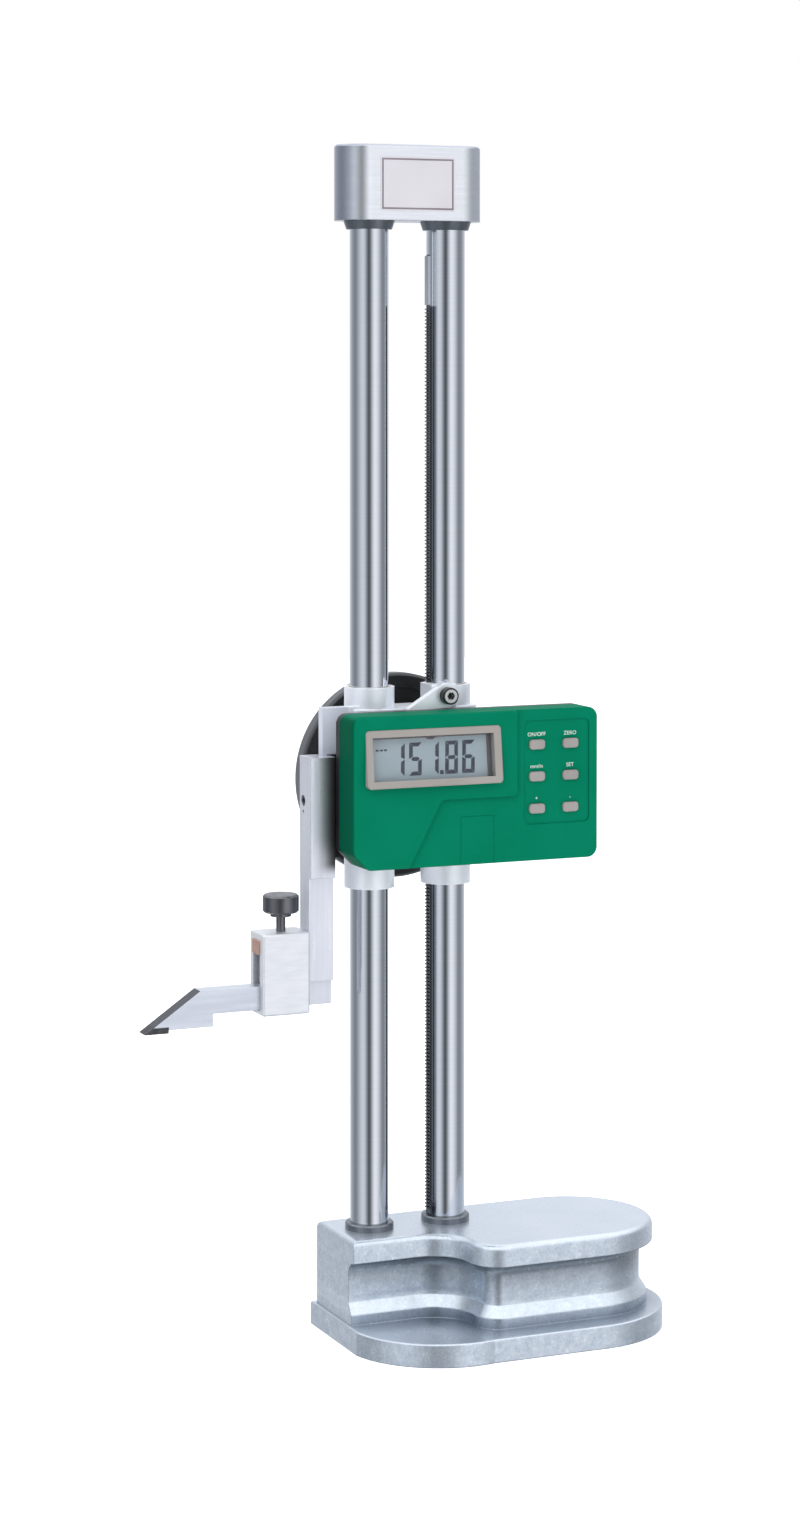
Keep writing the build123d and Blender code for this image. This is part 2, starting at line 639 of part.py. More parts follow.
with BuildPart() as slider_frame:
    with BuildSketch(Plane.XY.offset(BODY_BOTTOM)):
        RectangleRounded(2 * BODY_HALF_LENGTH, 2 * BODY_HALF_DEPTH, BODY_CORNER_R)
    extrude(amount=BODY_TOP - BODY_BOTTOM)
    with BuildSketch(Plane.XY.offset(BOSS_BOTTOM)):
        with column_places():
            Circle(BOSS_R)
    extrude(amount=BOSS_TOP - BOSS_BOTTOM)
    with BuildSketch(front(0)):
        with Locations(((FACE_PLATE_LEFT + FACE_PLATE_RIGHT) / 2, (FACE_PLATE_BOTTOM + FACE_PLATE_TOP) / 2)):
            RectangleRounded(
                FACE_PLATE_RIGHT - FACE_PLATE_LEFT, FACE_PLATE_TOP - FACE_PLATE_BOTTOM, FACE_PLATE_CORNER_R
            )
    extrude(amount=HOUSING_BACK_FORWARD)
    with BuildSketch(front(0)):
        with Locations(((FACE_PLATE_RIGHT + BODY_HALF_LENGTH) / 2 + BODY_CORNER_R, PINION_Z)):
            Rectangle(FACE_PLATE_RIGHT - BODY_HALF_LENGTH + 2 * BODY_CORNER_R, HOUSING_TOP - HOUSING_BOTTOM)
    extrude(amount=BODY_HALF_DEPTH, mode=Mode.SUBTRACT)
    with BuildSketch(Plane.XY.offset(BODY_BOTTOM)):
        RectangleRounded(2 * BODY_HALF_LENGTH, 2 * BODY_HALF_DEPTH, BODY_CORNER_R)
    extrude(amount=BODY_TOP - BODY_BOTTOM)
    with BuildSketch(Plane.XY.offset(PAD_BOTTOM)):
        with Locations((PAD_LEFT, -PAD_FORWARD)):
            Rectangle(-COLUMN_X - PAD_LEFT, PAD_THICKNESS, align=(Align.MIN, Align.MIN))
    extrude(amount=PAD_TOP - PAD_BOTTOM)
    with BuildSketch(front(0)):
        with Locations((PINION_X, PINION_Z)):
            Circle(BEARING_BOSS_R)
    extrude(amount=-BEARING_BOSS_END)
    with BuildSketch(Plane.XY.offset(BODY_TOP)):
        with Locations(((LOCK_LUG_LEFT + LOCK_LUG_RIGHT) / 2, -LOCK_LUG_FORWARD / 2)):
            Rectangle(LOCK_LUG_RIGHT - LOCK_LUG_LEFT, LOCK_LUG_FORWARD)
    extrude(amount=LOCK_LUG_TOP - BODY_TOP)
    with BuildSketch(Plane.XY.offset(BOSS_BOTTOM)):
        with column_places():
            Circle(BUSH_R + SEAT_CLEARANCE)
    extrude(amount=LOCK_LUG_TOP - BOSS_BOTTOM, mode=Mode.SUBTRACT)
    with BuildSketch(Plane.XY.offset(BOSS_BOTTOM)):
        with Locations(((RACK_TIP_X - RACK_SLOT_GAP + COLUMN_X) / 2, 0)):
            Rectangle(COLUMN_X - RACK_TIP_X + RACK_SLOT_GAP, RACK_WIDTH + 2 * RACK_SLOT_GAP)
    extrude(amount=LOCK_LUG_TOP - BOSS_BOTTOM, mode=Mode.SUBTRACT)
    with BuildSketch(front(-POCKET_HALF)):
        with Locations((PINION_X, PINION_Z)):
            Circle(POCKET_R)
    extrude(amount=2 * POCKET_HALF, mode=Mode.SUBTRACT)
    with BuildSketch(front(-BEARING_BOSS_END)):
        with Locations((PINION_X, PINION_Z)):
            Circle(SHAFT_BUSH_R + SEAT_CLEARANCE)
    extrude(amount=BEARING_BOSS_END + HOUSING_BACK_FORWARD, mode=Mode.SUBTRACT)
    with BuildSketch(front(COLUMN_R / 2)):
        with Locations((LOCK_X, LOCK_Z)):
            Circle(LOCK_BOLT_R + SEAT_CLEARANCE)
    extrude(amount=LOCK_LUG_FORWARD, mode=Mode.SUBTRACT)
    with BuildSketch(Plane.YZ.offset(PAD_LEFT)):
        with Locations((-ARM_SCREW_FORWARD, ARM_SCREW_Z)):
            Circle(ARM_SCREW_R + SEAT_CLEARANCE)
        with Locations((-ARM_SCREW_FORWARD, ARM_PIN_Z)):
            Circle(ARM_PIN_R + SEAT_CLEARANCE)
    extrude(amount=ARM_SCREW_LENGTH, mode=Mode.SUBTRACT)
slider_frame.part.label = "slider_frame"
export_step(slider_frame.part, "parts/slider_frame.step")

with BuildPart() as slider_bushes:
    for bush_bottom in (BOSS_BOTTOM, BOSS_TOP - BUSH_LENGTH):
        with BuildSketch(Plane.XY.offset(bush_bottom)):
            with column_places():
                Circle(BUSH_R)
                Circle(COLUMN_R + RUNNING_CLEARANCE, mode=Mode.SUBTRACT)
            with Locations(((RACK_TIP_X - RACK_SLOT_GAP + COLUMN_X) / 2, 0)):
                Rectangle(
                    COLUMN_X - RACK_TIP_X + RACK_SLOT_GAP, RACK_WIDTH + 2 * RACK_SLOT_GAP, mode=Mode.SUBTRACT
                )
        extrude(amount=BUSH_LENGTH)
    with BuildSketch(front(COLUMN_R / 2)):
        with Locations((LOCK_X, LOCK_Z)):
            Circle(LOCK_BOLT_R + SEAT_CLEARANCE)
    extrude(amount=LOCK_LUG_FORWARD, mode=Mode.SUBTRACT)
slider_bushes.part.label = "slider_bushes"
export_step(slider_bushes.part, "parts/slider_bushes.step")

with BuildPart() as shaft_bushes:
    for bush_front in (SHAFT_BUSH_LENGTH - BEARING_BOSS_END, HOUSING_BACK_FORWARD):
        with BuildSketch(front(bush_front)):
            with Locations((PINION_X, PINION_Z)):
                Circle(SHAFT_BUSH_R)
                Circle(SHAFT_R + RUNNING_CLEARANCE, mode=Mode.SUBTRACT)
        extrude(amount=-SHAFT_BUSH_LENGTH)
shaft_bushes.part.label = "shaft_bushes"
export_step(shaft_bushes.part, "parts/shaft_bushes.step")

# ================================================================ slider lock
LEVER_BACK = LOCK_LUG_FORWARD + LEVER_GAP
LEVER_FRONT = LEVER_BACK + LEVER_THICKNESS
lever_plane = Plane(
    origin=(LOCK_X, -LEVER_BACK, LOCK_Z),
    x_dir=(-cos(radians(LEVER_DROOP)), 0, -sin(radians(LEVER_DROOP))),
    z_dir=(0, -1, 0),
)

LEVER_FLARE = asin((LEVER_BOSS_R - LEVER_TIP_R) / LEVER_LENGTH)

with BuildPart() as lock_lever:
    with BuildSketch(lever_plane):
        Circle(LEVER_BOSS_R)
        with Locations((LEVER_LENGTH, 0)):
            Circle(LEVER_TIP_R)
        with BuildLine():
            root = (LEVER_BOSS_R * sin(LEVER_FLARE), LEVER_BOSS_R * cos(LEVER_FLARE))
            tip = (LEVER_LENGTH + LEVER_TIP_R * sin(LEVER_FLARE), LEVER_TIP_R * cos(LEVER_FLARE))
            Polyline(root, tip, (tip[0], -tip[1]), (root[0], -root[1]), close=True)
        make_face()
        Circle(LOCK_BOLT_R + SEAT_CLEARANCE, mode=Mode.SUBTRACT)
    extrude(amount=LEVER_THICKNESS)
lock_lever.part.label = "lock_lever"
export_step(lock_lever.part, "parts/lock_lever.step")

with BuildPart() as lock_bolt:
    with BuildSketch(front(LOCK_BOLT_END)):
        with Locations((LOCK_X, LOCK_Z)):
            Circle(LOCK_BOLT_R)
    extrude(amount=LEVER_FRONT - LOCK_BOLT_END)
    with BuildSketch(front(LEVER_FRONT)):
        with Locations((LOCK_X, LOCK_Z)):
            Circle(LOCK_HEAD_R)
    extrude(amount=LOCK_HEAD_HEIGHT)
    with BuildSketch(front(LEVER_FRONT + LOCK_HEAD_HEIGHT)):
        with Locations((LOCK_X, LOCK_Z)):
            RegularPolygon(LOCK_SOCKET_ACROSS / 2, 6, major_radius=False)
    extrude(amount=-LOCK_SOCKET_DEPTH, mode=Mode.SUBTRACT)
    head_rim = lock_bolt.edges().filter_by(GeomType.CIRCLE).sort_by(Axis.Y)[0]
    chamfer(head_rim, length=COLUMN_CHAMFER / 2)
lock_bolt.part.label = "lock_bolt"
export_step(lock_bolt.part, "parts/lock_bolt.step")

with BuildPart() as lock_pad:
    with BuildSketch(front(COLUMN_R / 2)):
        with Locations((LOCK_X, LOCK_Z)):
            Circle(LOCK_BOLT_R)
    extrude(amount=LOCK_BOLT_END - LOCK_PAD_CLEARANCE - COLUMN_R / 2)
    with BuildSketch(Plane.XY.offset(LOCK_Z - LOCK_HEAD_R)):
        with Locations((COLUMN_X, 0)):
            Circle(COLUMN_R + LOCK_PAD_CLEARANCE)
    extrude(amount=2 * LOCK_HEAD_R, mode=Mode.SUBTRACT)
lock_pad.part.label = "lock_pad"
export_step(lock_pad.part, "parts/lock_pad.step")


# ================================================================ housing
def housing_profile(plane, inset=0.0):
    """Front view of the housing, drawn in from its outer edge by the inset."""
    with BuildSketch(plane) as profile:
        with BuildLine():
            Polyline(
                (HOUSING_LEFT + HOUSING_CHAMFER, HOUSING_BOTTOM),
                (HOUSING_RIGHT, HOUSING_BOTTOM),
                (HOUSING_RIGHT, HOUSING_TOP),
                (HOUSING_LEFT, HOUSING_TOP),
                (HOUSING_LEFT, HOUSING_BOTTOM + HOUSING_CHAMFER),
                close=True,
            )
        make_face()
        fillet(profile.vertices(), HOUSING_CORNER_R)
        if inset:
            offset(amount=-inset)
    return profile.sketch


def housing_corners():
    """Screw places near the four corners, in front view."""
    left = HOUSING_LEFT + HOUSING_CHAMFER
    right = HOUSING_RIGHT - HOUSING_SCREW_INSET
    bottom = HOUSING_BOTTOM + HOUSING_SCREW_INSET
    top = HOUSING_TOP - HOUSING_SCREW_INSET / 2 - POST_R / 2
    return Locations((left, bottom), (right, bottom), (right, top), (HOUSING_LEFT + POST_R, top))


def board_posts():
    """Places of the circuit board's four supports, in front view."""
    return Locations(
        (BOARD_POST_LEFT, BOARD_POST_BOTTOM), (BOARD_POST_RIGHT, BOARD_POST_BOTTOM),
        (BOARD_POST_RIGHT, BOARD_POST_TOP), (BOARD_POST_LEFT, BOARD_POST_TOP),
    )


def key_places():
    """The key centres, in front view."""
    return Locations(*[(x, z) for z in KEY_ROWS for x in KEY_COLUMNS])


PANEL_FORWARD = HOUSING_FACE_FORWARD - PANEL_DROP
KEYPAD_FORWARD = PANEL_FORWARD - KEYPAD_DROP
KEY_FRONT = KEYPAD_FORWARD + KEY_STAND_OUT
KEY_INNER_FORWARD = BOARD_FORWARD + SWITCH_HEIGHT + KEY_TRAVEL + KEY_CLEARANCE
BEZEL_LEAN_ANGLE = atan2(BEZEL_LEAN, BEZEL_TOP - BEZEL_BOTTOM)
bezel_face = Plane(
    origin=(
        (BEZEL_LEFT + BEZEL_RIGHT) / 2,
        -(BEZEL_TOP_FORWARD + BEZEL_LEAN / 2),
        (BEZEL_TOP + BEZEL_BOTTOM) / 2,
    ),
    x_dir=(1, 0, 0),
    z_dir=(0, -cos(BEZEL_LEAN_ANGLE), sin(BEZEL_LEAN_ANGLE)),
)
GLASS_WIDTH = WINDOW_WIDTH + 2 * GLASS_BORDER
GLASS_HEIGHT = WINDOW_HEIGHT + 2 * GLASS_BORDER
DOOR_X = (DOOR_LEFT + DOOR_RIGHT) / 2
DOOR_WIDTH = DOOR_RIGHT - DOOR_LEFT
DOOR_HEIGHT = DOOR_TOP - HOUSING_BOTTOM
DOOR_BACK_FORWARD = PANEL_FORWARD - DOOR_THICKNESS - DOOR_TONGUE_THICKNESS

with BuildPart() as front_cover:
    extrude(
        housing_profile(front(HOUSING_SPLIT_FORWARD)), amount=HOUSING_FACE_FORWARD - HOUSING_SPLIT_FORWARD
    )
    fillet(front_cover.faces().sort_by(Axis.Y)[0].edges(), radius=HOUSING_EDGE_R)
    with BuildSketch(front(HOUSING_FACE_FORWARD)) as low_side:
        with BuildLine():
            Polyline(
                (STEP_FOOT_X, HOUSING_BOTTOM),
                (STEP_KNEE_X, STEP_KNEE_Z),
                (STEP_TURN_X, STEP_KNEE_Z),
                (STEP_TURN_X, HOUSING_TOP),
                (HOUSING_RIGHT, HOUSING_TOP),
                (HOUSING_RIGHT, HOUSING_BOTTOM),
                close=True,
            )
        make_face()
        step_corners = low_side.vertices().filter_by(lambda v: abs(v.Y - STEP_KNEE_Z) < POST_R)
        fillet(step_corners, STEP_CORNER_R)
    extrude(amount=-PANEL_DROP, mode=Mode.SUBTRACT)
    with BuildSketch(front(PANEL_FORWARD)):
        with Locations(((KEYPAD_LEFT + KEYPAD_RIGHT) / 2, (KEYPAD_BOTTOM + KEYPAD_TOP) / 2)):
            RectangleRounded(KEYPAD_RIGHT - KEYPAD_LEFT, KEYPAD_TOP - KEYPAD_BOTTOM, KEYPAD_CORNER_R)
    extrude(amount=-KEYPAD_DROP, mode=Mode.SUBTRACT)
    extrude(
        housing_profile(front(HOUSING_SPLIT_FORWARD), HOUSING_WALL),
        amount=CAVITY_FORWARD - HOUSING_SPLIT_FORWARD,
        mode=Mode.SUBTRACT,
    )
    with BuildSketch(front(HOUSING_SPLIT_FORWARD)):
        with housing_corners():
            Circle(POST_R)
    extrude(amount=CAVITY_FORWARD - HOUSING_SPLIT_FORWARD)
    with BuildSketch(front(HOUSING_SPLIT_FORWARD)):
        with housing_corners():
            Circle(HOUSING_SCREW_R)
    extrude(amount=HOUSING_SCREW_REACH, mode=Mode.SUBTRACT)
    with BuildSketch(front(BEZEL_SEAT_FORWARD)):
        with Locations(((BEZEL_LEFT + BEZEL_RIGHT) / 2, (BEZEL_BOTTOM + BEZEL_TOP) / 2)):
            RectangleRounded(
                BEZEL_RIGHT - BEZEL_LEFT + 2 * SEAT_CLEARANCE,
                BEZEL_TOP - BEZEL_BOTTOM + 2 * SEAT_CLEARANCE,
                BEZEL_CORNER_R,
            )
    extrude(amount=HOUSING_FACE_FORWARD - BEZEL_SEAT_FORWARD, mode=Mode.SUBTRACT)
    with BuildSketch(bezel_face.offset(-WINDOW_DEPTH)):
        with Locations((WINDOW_SHIFT, 0)):
            Rectangle(GLASS_WIDTH + 2 * SEAT_CLEARANCE, GLASS_HEIGHT + 2 * SEAT_CLEARANCE)
    extrude(amount=-(HOUSING_FACE_FORWARD - HOUSING_SPLIT_FORWARD), mode=Mode.SUBTRACT)
    with BuildSketch(front(HOUSING_SPLIT_FORWARD)):
        with key_places():
            RectangleRounded(
                KEY_WIDTH + 2 * KEY_CLEARANCE, KEY_HEIGHT + 2 * KEY_CLEARANCE, KEY_CORNER_R + KEY_CLEARANCE
            )
    extrude(amount=HOUSING_FACE_FORWARD - HOUSING_SPLIT_FORWARD, mode=Mode.SUBTRACT)
    with BuildSketch(front(DOOR_BACK_FORWARD + DOOR_TONGUE_THICKNESS)):
        with Locations((DOOR_X, HOUSING_BOTTOM)):
            Rectangle(
                DOOR_WIDTH + 2 * DOOR_CLEARANCE, DOOR_HEIGHT + DOOR_CLEARANCE,
                align=(Align.CENTER, Align.MIN),
            )
    extrude(amount=HOUSING_FACE_FORWARD - DOOR_BACK_FORWARD, mode=Mode.SUBTRACT)
    with BuildSketch(front(CAVITY_FORWARD)):
        with Locations((DOOR_X, HOUSING_BOTTOM)):
            Rectangle(
                DOOR_WIDTH + 2 * DOOR_TONGUE + 2 * DOOR_CLEARANCE, DOOR_HEIGHT + DOOR_CLEARANCE,
                align=(Align.CENTER, Align.MIN),
            )
    extrude(
        amount=DOOR_BACK_FORWARD + DOOR_TONGUE_THICKNESS + DOOR_CLEARANCE - CAVITY_FORWARD,
        mode=Mode.SUBTRACT,
    )
front_cover.part.label = "front_cover"
export_step(front_cover.part, "parts/front_cover.step")

with BuildPart() as back_cover:
    extrude(
        housing_profile(front(HOUSING_BACK_FORWARD)), amount=HOUSING_SPLIT_FORWARD - HOUSING_BACK_FORWARD
    )
    extrude(
        housing_profile(front(HOUSING_BACK_FORWARD + HOUSING_WALL), HOUSING_WALL),
        amount=HOUSING_SPLIT_FORWARD - HOUSING_BACK_FORWARD - HOUSING_WALL,
        mode=Mode.SUBTRACT,
    )
    with BuildSketch(front(HOUSING_BACK_FORWARD)):
        with housing_corners():
            Circle(POST_R)
    extrude(amount=HOUSING_SPLIT_FORWARD - HOUSING_BACK_FORWARD)
    with BuildSketch(front(HOUSING_BACK_FORWARD)):
        with board_posts():
            Circle(BOARD_POST_R)
    extrude(amount=BOARD_FORWARD - BOARD_THICKNESS - HOUSING_BACK_FORWARD)
    with BuildSketch(front(HOUSING_BACK_FORWARD)):
        with housing_corners():
            Circle(HOUSING_SCREW_R)
        with Locations((PINION_X, PINION_Z)):
            Circle(SHAFT_PASSAGE_R)
    extrude(amount=HOUSING_SPLIT_FORWARD, mode=Mode.SUBTRACT)
    with BuildSketch(front(HOUSING_BACK_FORWARD)):
        with housing_corners():
            Circle(HOUSING_SCREW_HEAD_R + SEAT_CLEARANCE)
    extrude(amount=HOUSING_SCREW_HEAD_HEIGHT, mode=Mode.SUBTRACT)
back_cover.part.label = "back_cover"
export_step(back_cover.part, "parts/back_cover.step")

with BuildPart() as cover_screws:
    with BuildSketch(front(HOUSING_BACK_FORWARD)):
        with housing_corners():
            Circle(HOUSING_SCREW_HEAD_R)
    extrude(amount=HOUSING_SCREW_HEAD_HEIGHT)
    with BuildSketch(front(HOUSING_BACK_FORWARD)):
        with housing_corners():
            Circle(HOUSING_SCREW_R - SEAT_CLEARANCE)
    extrude(amount=HOUSING_SPLIT_FORWARD + HOUSING_SCREW_REACH / 2 - HOUSING_BACK_FORWARD)
cover_screws.part.label = "cover_screws"
export_step(cover_screws.part, "parts/cover_screws.step")

# ================================================================ display
with BuildPart() as lcd_bezel:
    with BuildSketch(Plane.YZ.offset(BEZEL_LEFT)):
        with BuildLine():
            Polyline(
                (-BEZEL_SEAT_FORWARD, BEZEL_BOTTOM),
                (-BEZEL_TOP_FORWARD - BEZEL_LEAN, BEZEL_BOTTOM),
                (-BEZEL_TOP_FORWARD, BEZEL_TOP),
                (-BEZEL_SEAT_FORWARD, BEZEL_TOP),
                close=True,
            )
        make_face()
    extrude(amount=BEZEL_RIGHT - BEZEL_LEFT)
    fillet(lcd_bezel.edges().filter_by(Axis.Y), radius=BEZEL_CORNER_R)
    chamfer(lcd_bezel.faces().sort_by(Axis.Y)[0].edges(), length=BEZEL_CHAMFER)
    with BuildSketch(bezel_face):
        with Locations((WINDOW_SHIFT, 0)):
            Rectangle(WINDOW_WIDTH, WINDOW_HEIGHT)
    extrude(amount=-BEZEL_TOP_FORWARD, mode=Mode.SUBTRACT)
    with BuildSketch(bezel_face.offset(-WINDOW_DEPTH)):
        with Locations((WINDOW_SHIFT, 0)):
            Rectangle(GLASS_WIDTH + 2 * SEAT_CLEARANCE, GLASS_HEIGHT + 2 * SEAT_CLEARANCE)
    extrude(amount=-BEZEL_TOP_FORWARD, mode=Mode.SUBTRACT)
lcd_bezel.part.label = "lcd_bezel"
export_step(lcd_bezel.part, "parts/lcd_bezel.step")

with BuildPart() as lcd_window:
    with BuildSketch(bezel_face.offset(-WINDOW_DEPTH)):
        with Locations((WINDOW_SHIFT, 0)):
            Rectangle(GLASS_WIDTH, GLASS_HEIGHT)
    extrude(amount=-GLASS_THICKNESS)
lcd_window.part.label = "lcd_window"
export_step(lcd_window.part, "parts/lcd_window.step")

with BuildPart() as lcd_module:
    with BuildSketch(bezel_face.offset(-WINDOW_DEPTH - GLASS_THICKNESS - LCD_GAP)):
        with Locations((WINDOW_SHIFT, 0)):
            Rectangle(GLASS_WIDTH, GLASS_HEIGHT)
    extrude(amount=-BOARD_FORWARD)
    split(bisect_by=front(BOARD_FORWARD), keep=Keep.TOP)
lcd_module.part.label = "lcd_module"
export_step(lcd_module.part, "parts/lcd_module.step")

# ================================================================ electronics
with BuildPart() as circuit_board:
    extrude(
        housing_profile(front(BOARD_FORWARD - BOARD_THICKNESS), HOUSING_WALL + BOARD_GAP),
        amount=BOARD_THICKNESS,
    )
    with BuildSketch(front(BOARD_FORWARD - BOARD_THICKNESS)):
        with housing_corners():
            Circle(POST_R + BOARD_GAP)
    extrude(amount=BOARD_THICKNESS, mode=Mode.SUBTRACT)
circuit_board.part.label = "circuit_board"
export_step(circuit_board.part, "parts/circuit_board.step")

with BuildPart() as key_switches:
    with BuildSketch(front(BOARD_FORWARD)):
        with key_places():
            Rectangle(SWITCH_SIZE, SWITCH_SIZE)
    extrude(amount=SWITCH_HEIGHT)
key_switches.part.label = "key_switches"
export_step(key_switches.part, "parts/key_switches.step")

with BuildPart() as encoder_disc:
    with BuildSketch(front(ENCODER_FORWARD)):
        with Locations((PINION_X, PINION_Z)):
            Circle(ENCODER_R)
            Circle(SHAFT_R + SEAT_CLEARANCE, mode=Mode.SUBTRACT)
    extrude(amount=-ENCODER_THICKNESS)
encoder_disc.part.label = "encoder_disc"
export_step(encoder_disc.part, "parts/encoder_disc.step")

# ================================================================ keys
key_spots = [(x, z) for z in KEY_ROWS for x in KEY_COLUMNS]
for key_name, key_spot in zip(KEY_NAMES, key_spots):
    with BuildPart() as key:
        with BuildSketch(front(KEY_INNER_FORWARD)):
            with Locations(key_spot):
                RectangleRounded(KEY_WIDTH, KEY_HEIGHT, KEY_CORNER_R)
        extrude(amount=KEY_FRONT - KEY_INNER_FORWARD)
        chamfer(key.faces().sort_by(Axis.Y)[0].edges(), length=KEY_CHAMFER)
        with BuildSketch(front(CAVITY_FORWARD - KEY_CLEARANCE)):
            with Locations(key_spot):
                Rectangle(KEY_WIDTH + 2 * KEY_FLANGE, KEY_HEIGHT + 2 * KEY_FLANGE)
        extrude(amount=-(CAVITY_FORWARD - KEY_CLEARANCE - KEY_INNER_FORWARD))
    key.part.label = key_name
    export_step(key.part, f"parts/{key_name}.step")

# ================================================================ battery
with BuildPart() as battery_cover:
    with BuildSketch(front(PANEL_FORWARD)):
        with Locations((DOOR_X, HOUSING_BOTTOM)):
            Rectangle(DOOR_WIDTH, DOOR_HEIGHT, align=(Align.CENTER, Align.MIN))
    extrude(amount=-DOOR_THICKNESS)
    with BuildSketch(front(DOOR_BACK_FORWARD)):
        with Locations((DOOR_X, HOUSING_BOTTOM)):
            Rectangle(DOOR_WIDTH + 2 * DOOR_TONGUE, DOOR_HEIGHT, align=(Align.CENTER, Align.MIN))
    extrude(amount=DOOR_TONGUE_THICKNESS)
battery_cover.part.label = "battery_cover"
export_step(battery_cover.part, "parts/battery_cover.step")

with BuildPart() as battery:
    with BuildSketch(front(BOARD_FORWARD)):
        with Locations((DOOR_X, BATTERY_Z)):
            Circle(BATTERY_R)
    extrude(amount=BATTERY_THICKNESS)
battery.part.label = "battery"
export_step(battery.part, "parts/battery.step")

with BuildPart() as battery_clips:
    with BuildSketch(front(BOARD_FORWARD)):
        with Locations(
            (DOOR_X - BATTERY_R - CLIP_THICKNESS / 2 - DOOR_CLEARANCE, BATTERY_Z),
            (DOOR_X + BATTERY_R + CLIP_THICKNESS / 2 + DOOR_CLEARANCE, BATTERY_Z),
        ):
            Rectangle(CLIP_THICKNESS, CLIP_WIDTH)
    extrude(amount=BATTERY_THICKNESS / 2)
battery_clips.part.label = "battery_clips"
export_step(battery_clips.part, "parts/battery_clips.step")

# ================================================================ arm
NOSE_BOTTOM = SCRIBER_BOTTOM + SCRIBER_HEIGHT + CLAMP_CLEARANCE

with BuildPart() as arm:
    with BuildSketch(Plane.XY.offset(ARM_HEAD_BOTTOM)):
        with Locations((ARM_LEFT, -ARM_HEAD_FORWARD)):
            Rectangle(
                ARM_RIGHT - ARM_LEFT, ARM_HEAD_FORWARD - ARM_HEAD_BACK_FORWARD, align=(Align.MIN, Align.MIN)
            )
    extrude(amount=ARM_TOP - ARM_HEAD_BOTTOM)
    with BuildSketch(Plane.XY.offset(ARM_BAR_BOTTOM)):
        with Locations((ARM_LEFT, -ARM_BAR_FORWARD)):
            Rectangle(
                ARM_RIGHT - ARM_LEFT, ARM_BAR_FORWARD - ARM_BAR_BACK_FORWARD, align=(Align.MIN, Align.MIN)
            )
    extrude(amount=ARM_HEAD_BOTTOM - ARM_BAR_BOTTOM)
    with BuildSketch(Plane.XY.offset(PAD_BOTTOM - SEAT_CLEARANCE)):
        with Locations((PAD_LEFT - SEAT_CLEARANCE, -PAD_FORWARD - SEAT_CLEARANCE)):
            Rectangle(PAD_FORWARD * 2, PAD_FORWARD * 2, align=(Align.MIN, Align.MIN))
    extrude(amount=ARM_TOP - PAD_BOTTOM + SEAT_CLEARANCE, mode=Mode.SUBTRACT)
    with BuildSketch(Plane.XY.offset(ARM_TOE_BOTTOM)):
        with Locations((ARM_LEFT, -ARM_BAR_FORWARD + ARM_TOE_INSET)):
            Rectangle(
                ARM_RIGHT - ARM_LEFT, ARM_BAR_FORWARD - ARM_BAR_BACK_FORWARD - ARM_TOE_INSET,
                align=(Align.MIN, Align.MIN),
            )
    extrude(amount=ARM_BAR_BOTTOM - ARM_TOE_BOTTOM)
    with BuildSketch(Plane.YZ.offset(ARM_LEFT)):
        with Locations((-SCRIBER_FORWARD, NOSE_BOTTOM)):
            Rectangle(SCRIBER_WIDTH, NOSE_TOP - NOSE_BOTTOM, align=(Align.CENTER, Align.MIN))
    extrude(amount=NOSE_LEFT - ARM_LEFT)
    with BuildSketch(Plane.YZ.offset(ARM_LEFT)):
        with Locations((-ARM_SCREW_FORWARD, ARM_SCREW_Z)):
            Circle(ARM_SCREW_R + SEAT_CLEARANCE)
        with Locations((-ARM_SCREW_FORWARD, ARM_PIN_Z)):
            Circle(ARM_PIN_R + SEAT_CLEARANCE)
    extrude(amount=PAD_LEFT - ARM_LEFT, mode=Mode.SUBTRACT)
    with BuildSketch(Plane.YZ.offset(ARM_LEFT)):
        with Locations((-ARM_SCREW_FORWARD, ARM_SCREW_Z)):
            Circle(ARM_SCREW_HEAD_R + SEAT_CLEARANCE)
    extrude(amount=ARM_SCREW_HEAD_DEPTH, mode=Mode.SUBTRACT)
arm.part.label = "arm"
export_step(arm.part, "parts/arm.step")

with BuildPart() as arm_screw:
    with BuildSketch(Plane.YZ.offset(ARM_LEFT + ARM_PIN_INSET)):
        with Locations((-ARM_SCREW_FORWARD, ARM_SCREW_Z)):
            Circle(ARM_SCREW_HEAD_R)
    extrude(amount=ARM_SCREW_HEAD_DEPTH - ARM_PIN_INSET)
    with BuildSketch(Plane.YZ.offset(ARM_LEFT + ARM_PIN_INSET)):
        with Locations((-ARM_SCREW_FORWARD, ARM_SCREW_Z)):
            Circle(ARM_SCREW_R)
    extrude(amount=ARM_SCREW_LENGTH)
    with BuildSketch(Plane.YZ.offset(ARM_LEFT + ARM_PIN_INSET)):
        with Locations((-ARM_SCREW_FORWARD, ARM_SCREW_Z)):
            RegularPolygon(ARM_SCREW_SOCKET_ACROSS / 2, 6, major_radius=False)
    extrude(amount=ARM_SCREW_HEAD_DEPTH / 2, mode=Mode.SUBTRACT)
arm_screw.part.label = "arm_screw"
export_step(arm_screw.part, "parts/arm_screw.step")

with BuildPart() as arm_pin:
    with BuildSketch(Plane.YZ.offset(ARM_LEFT + ARM_PIN_INSET)):
        with Locations((-ARM_SCREW_FORWARD, ARM_PIN_Z)):
            Circle(ARM_PIN_R)
    extrude(amount=ARM_PIN_LENGTH)
arm_pin.part.label = "arm_pin"
export_step(arm_pin.part, "parts/arm_pin.step")

# ================================================================ scriber and clamp
BEVEL_RUN = (TIP_X - BLADE_BEVEL_X) / (SCRIBER_BOTTOM + SCRIBER_HEIGHT - TIP_Z)
TIP_TOP = TIP_Z + TIP_HEIGHT
BEVEL_END_X = BLADE_BEVEL_X + BEVEL_RUN * (SCRIBER_BOTTOM + SCRIBER_HEIGHT - TIP_TOP)

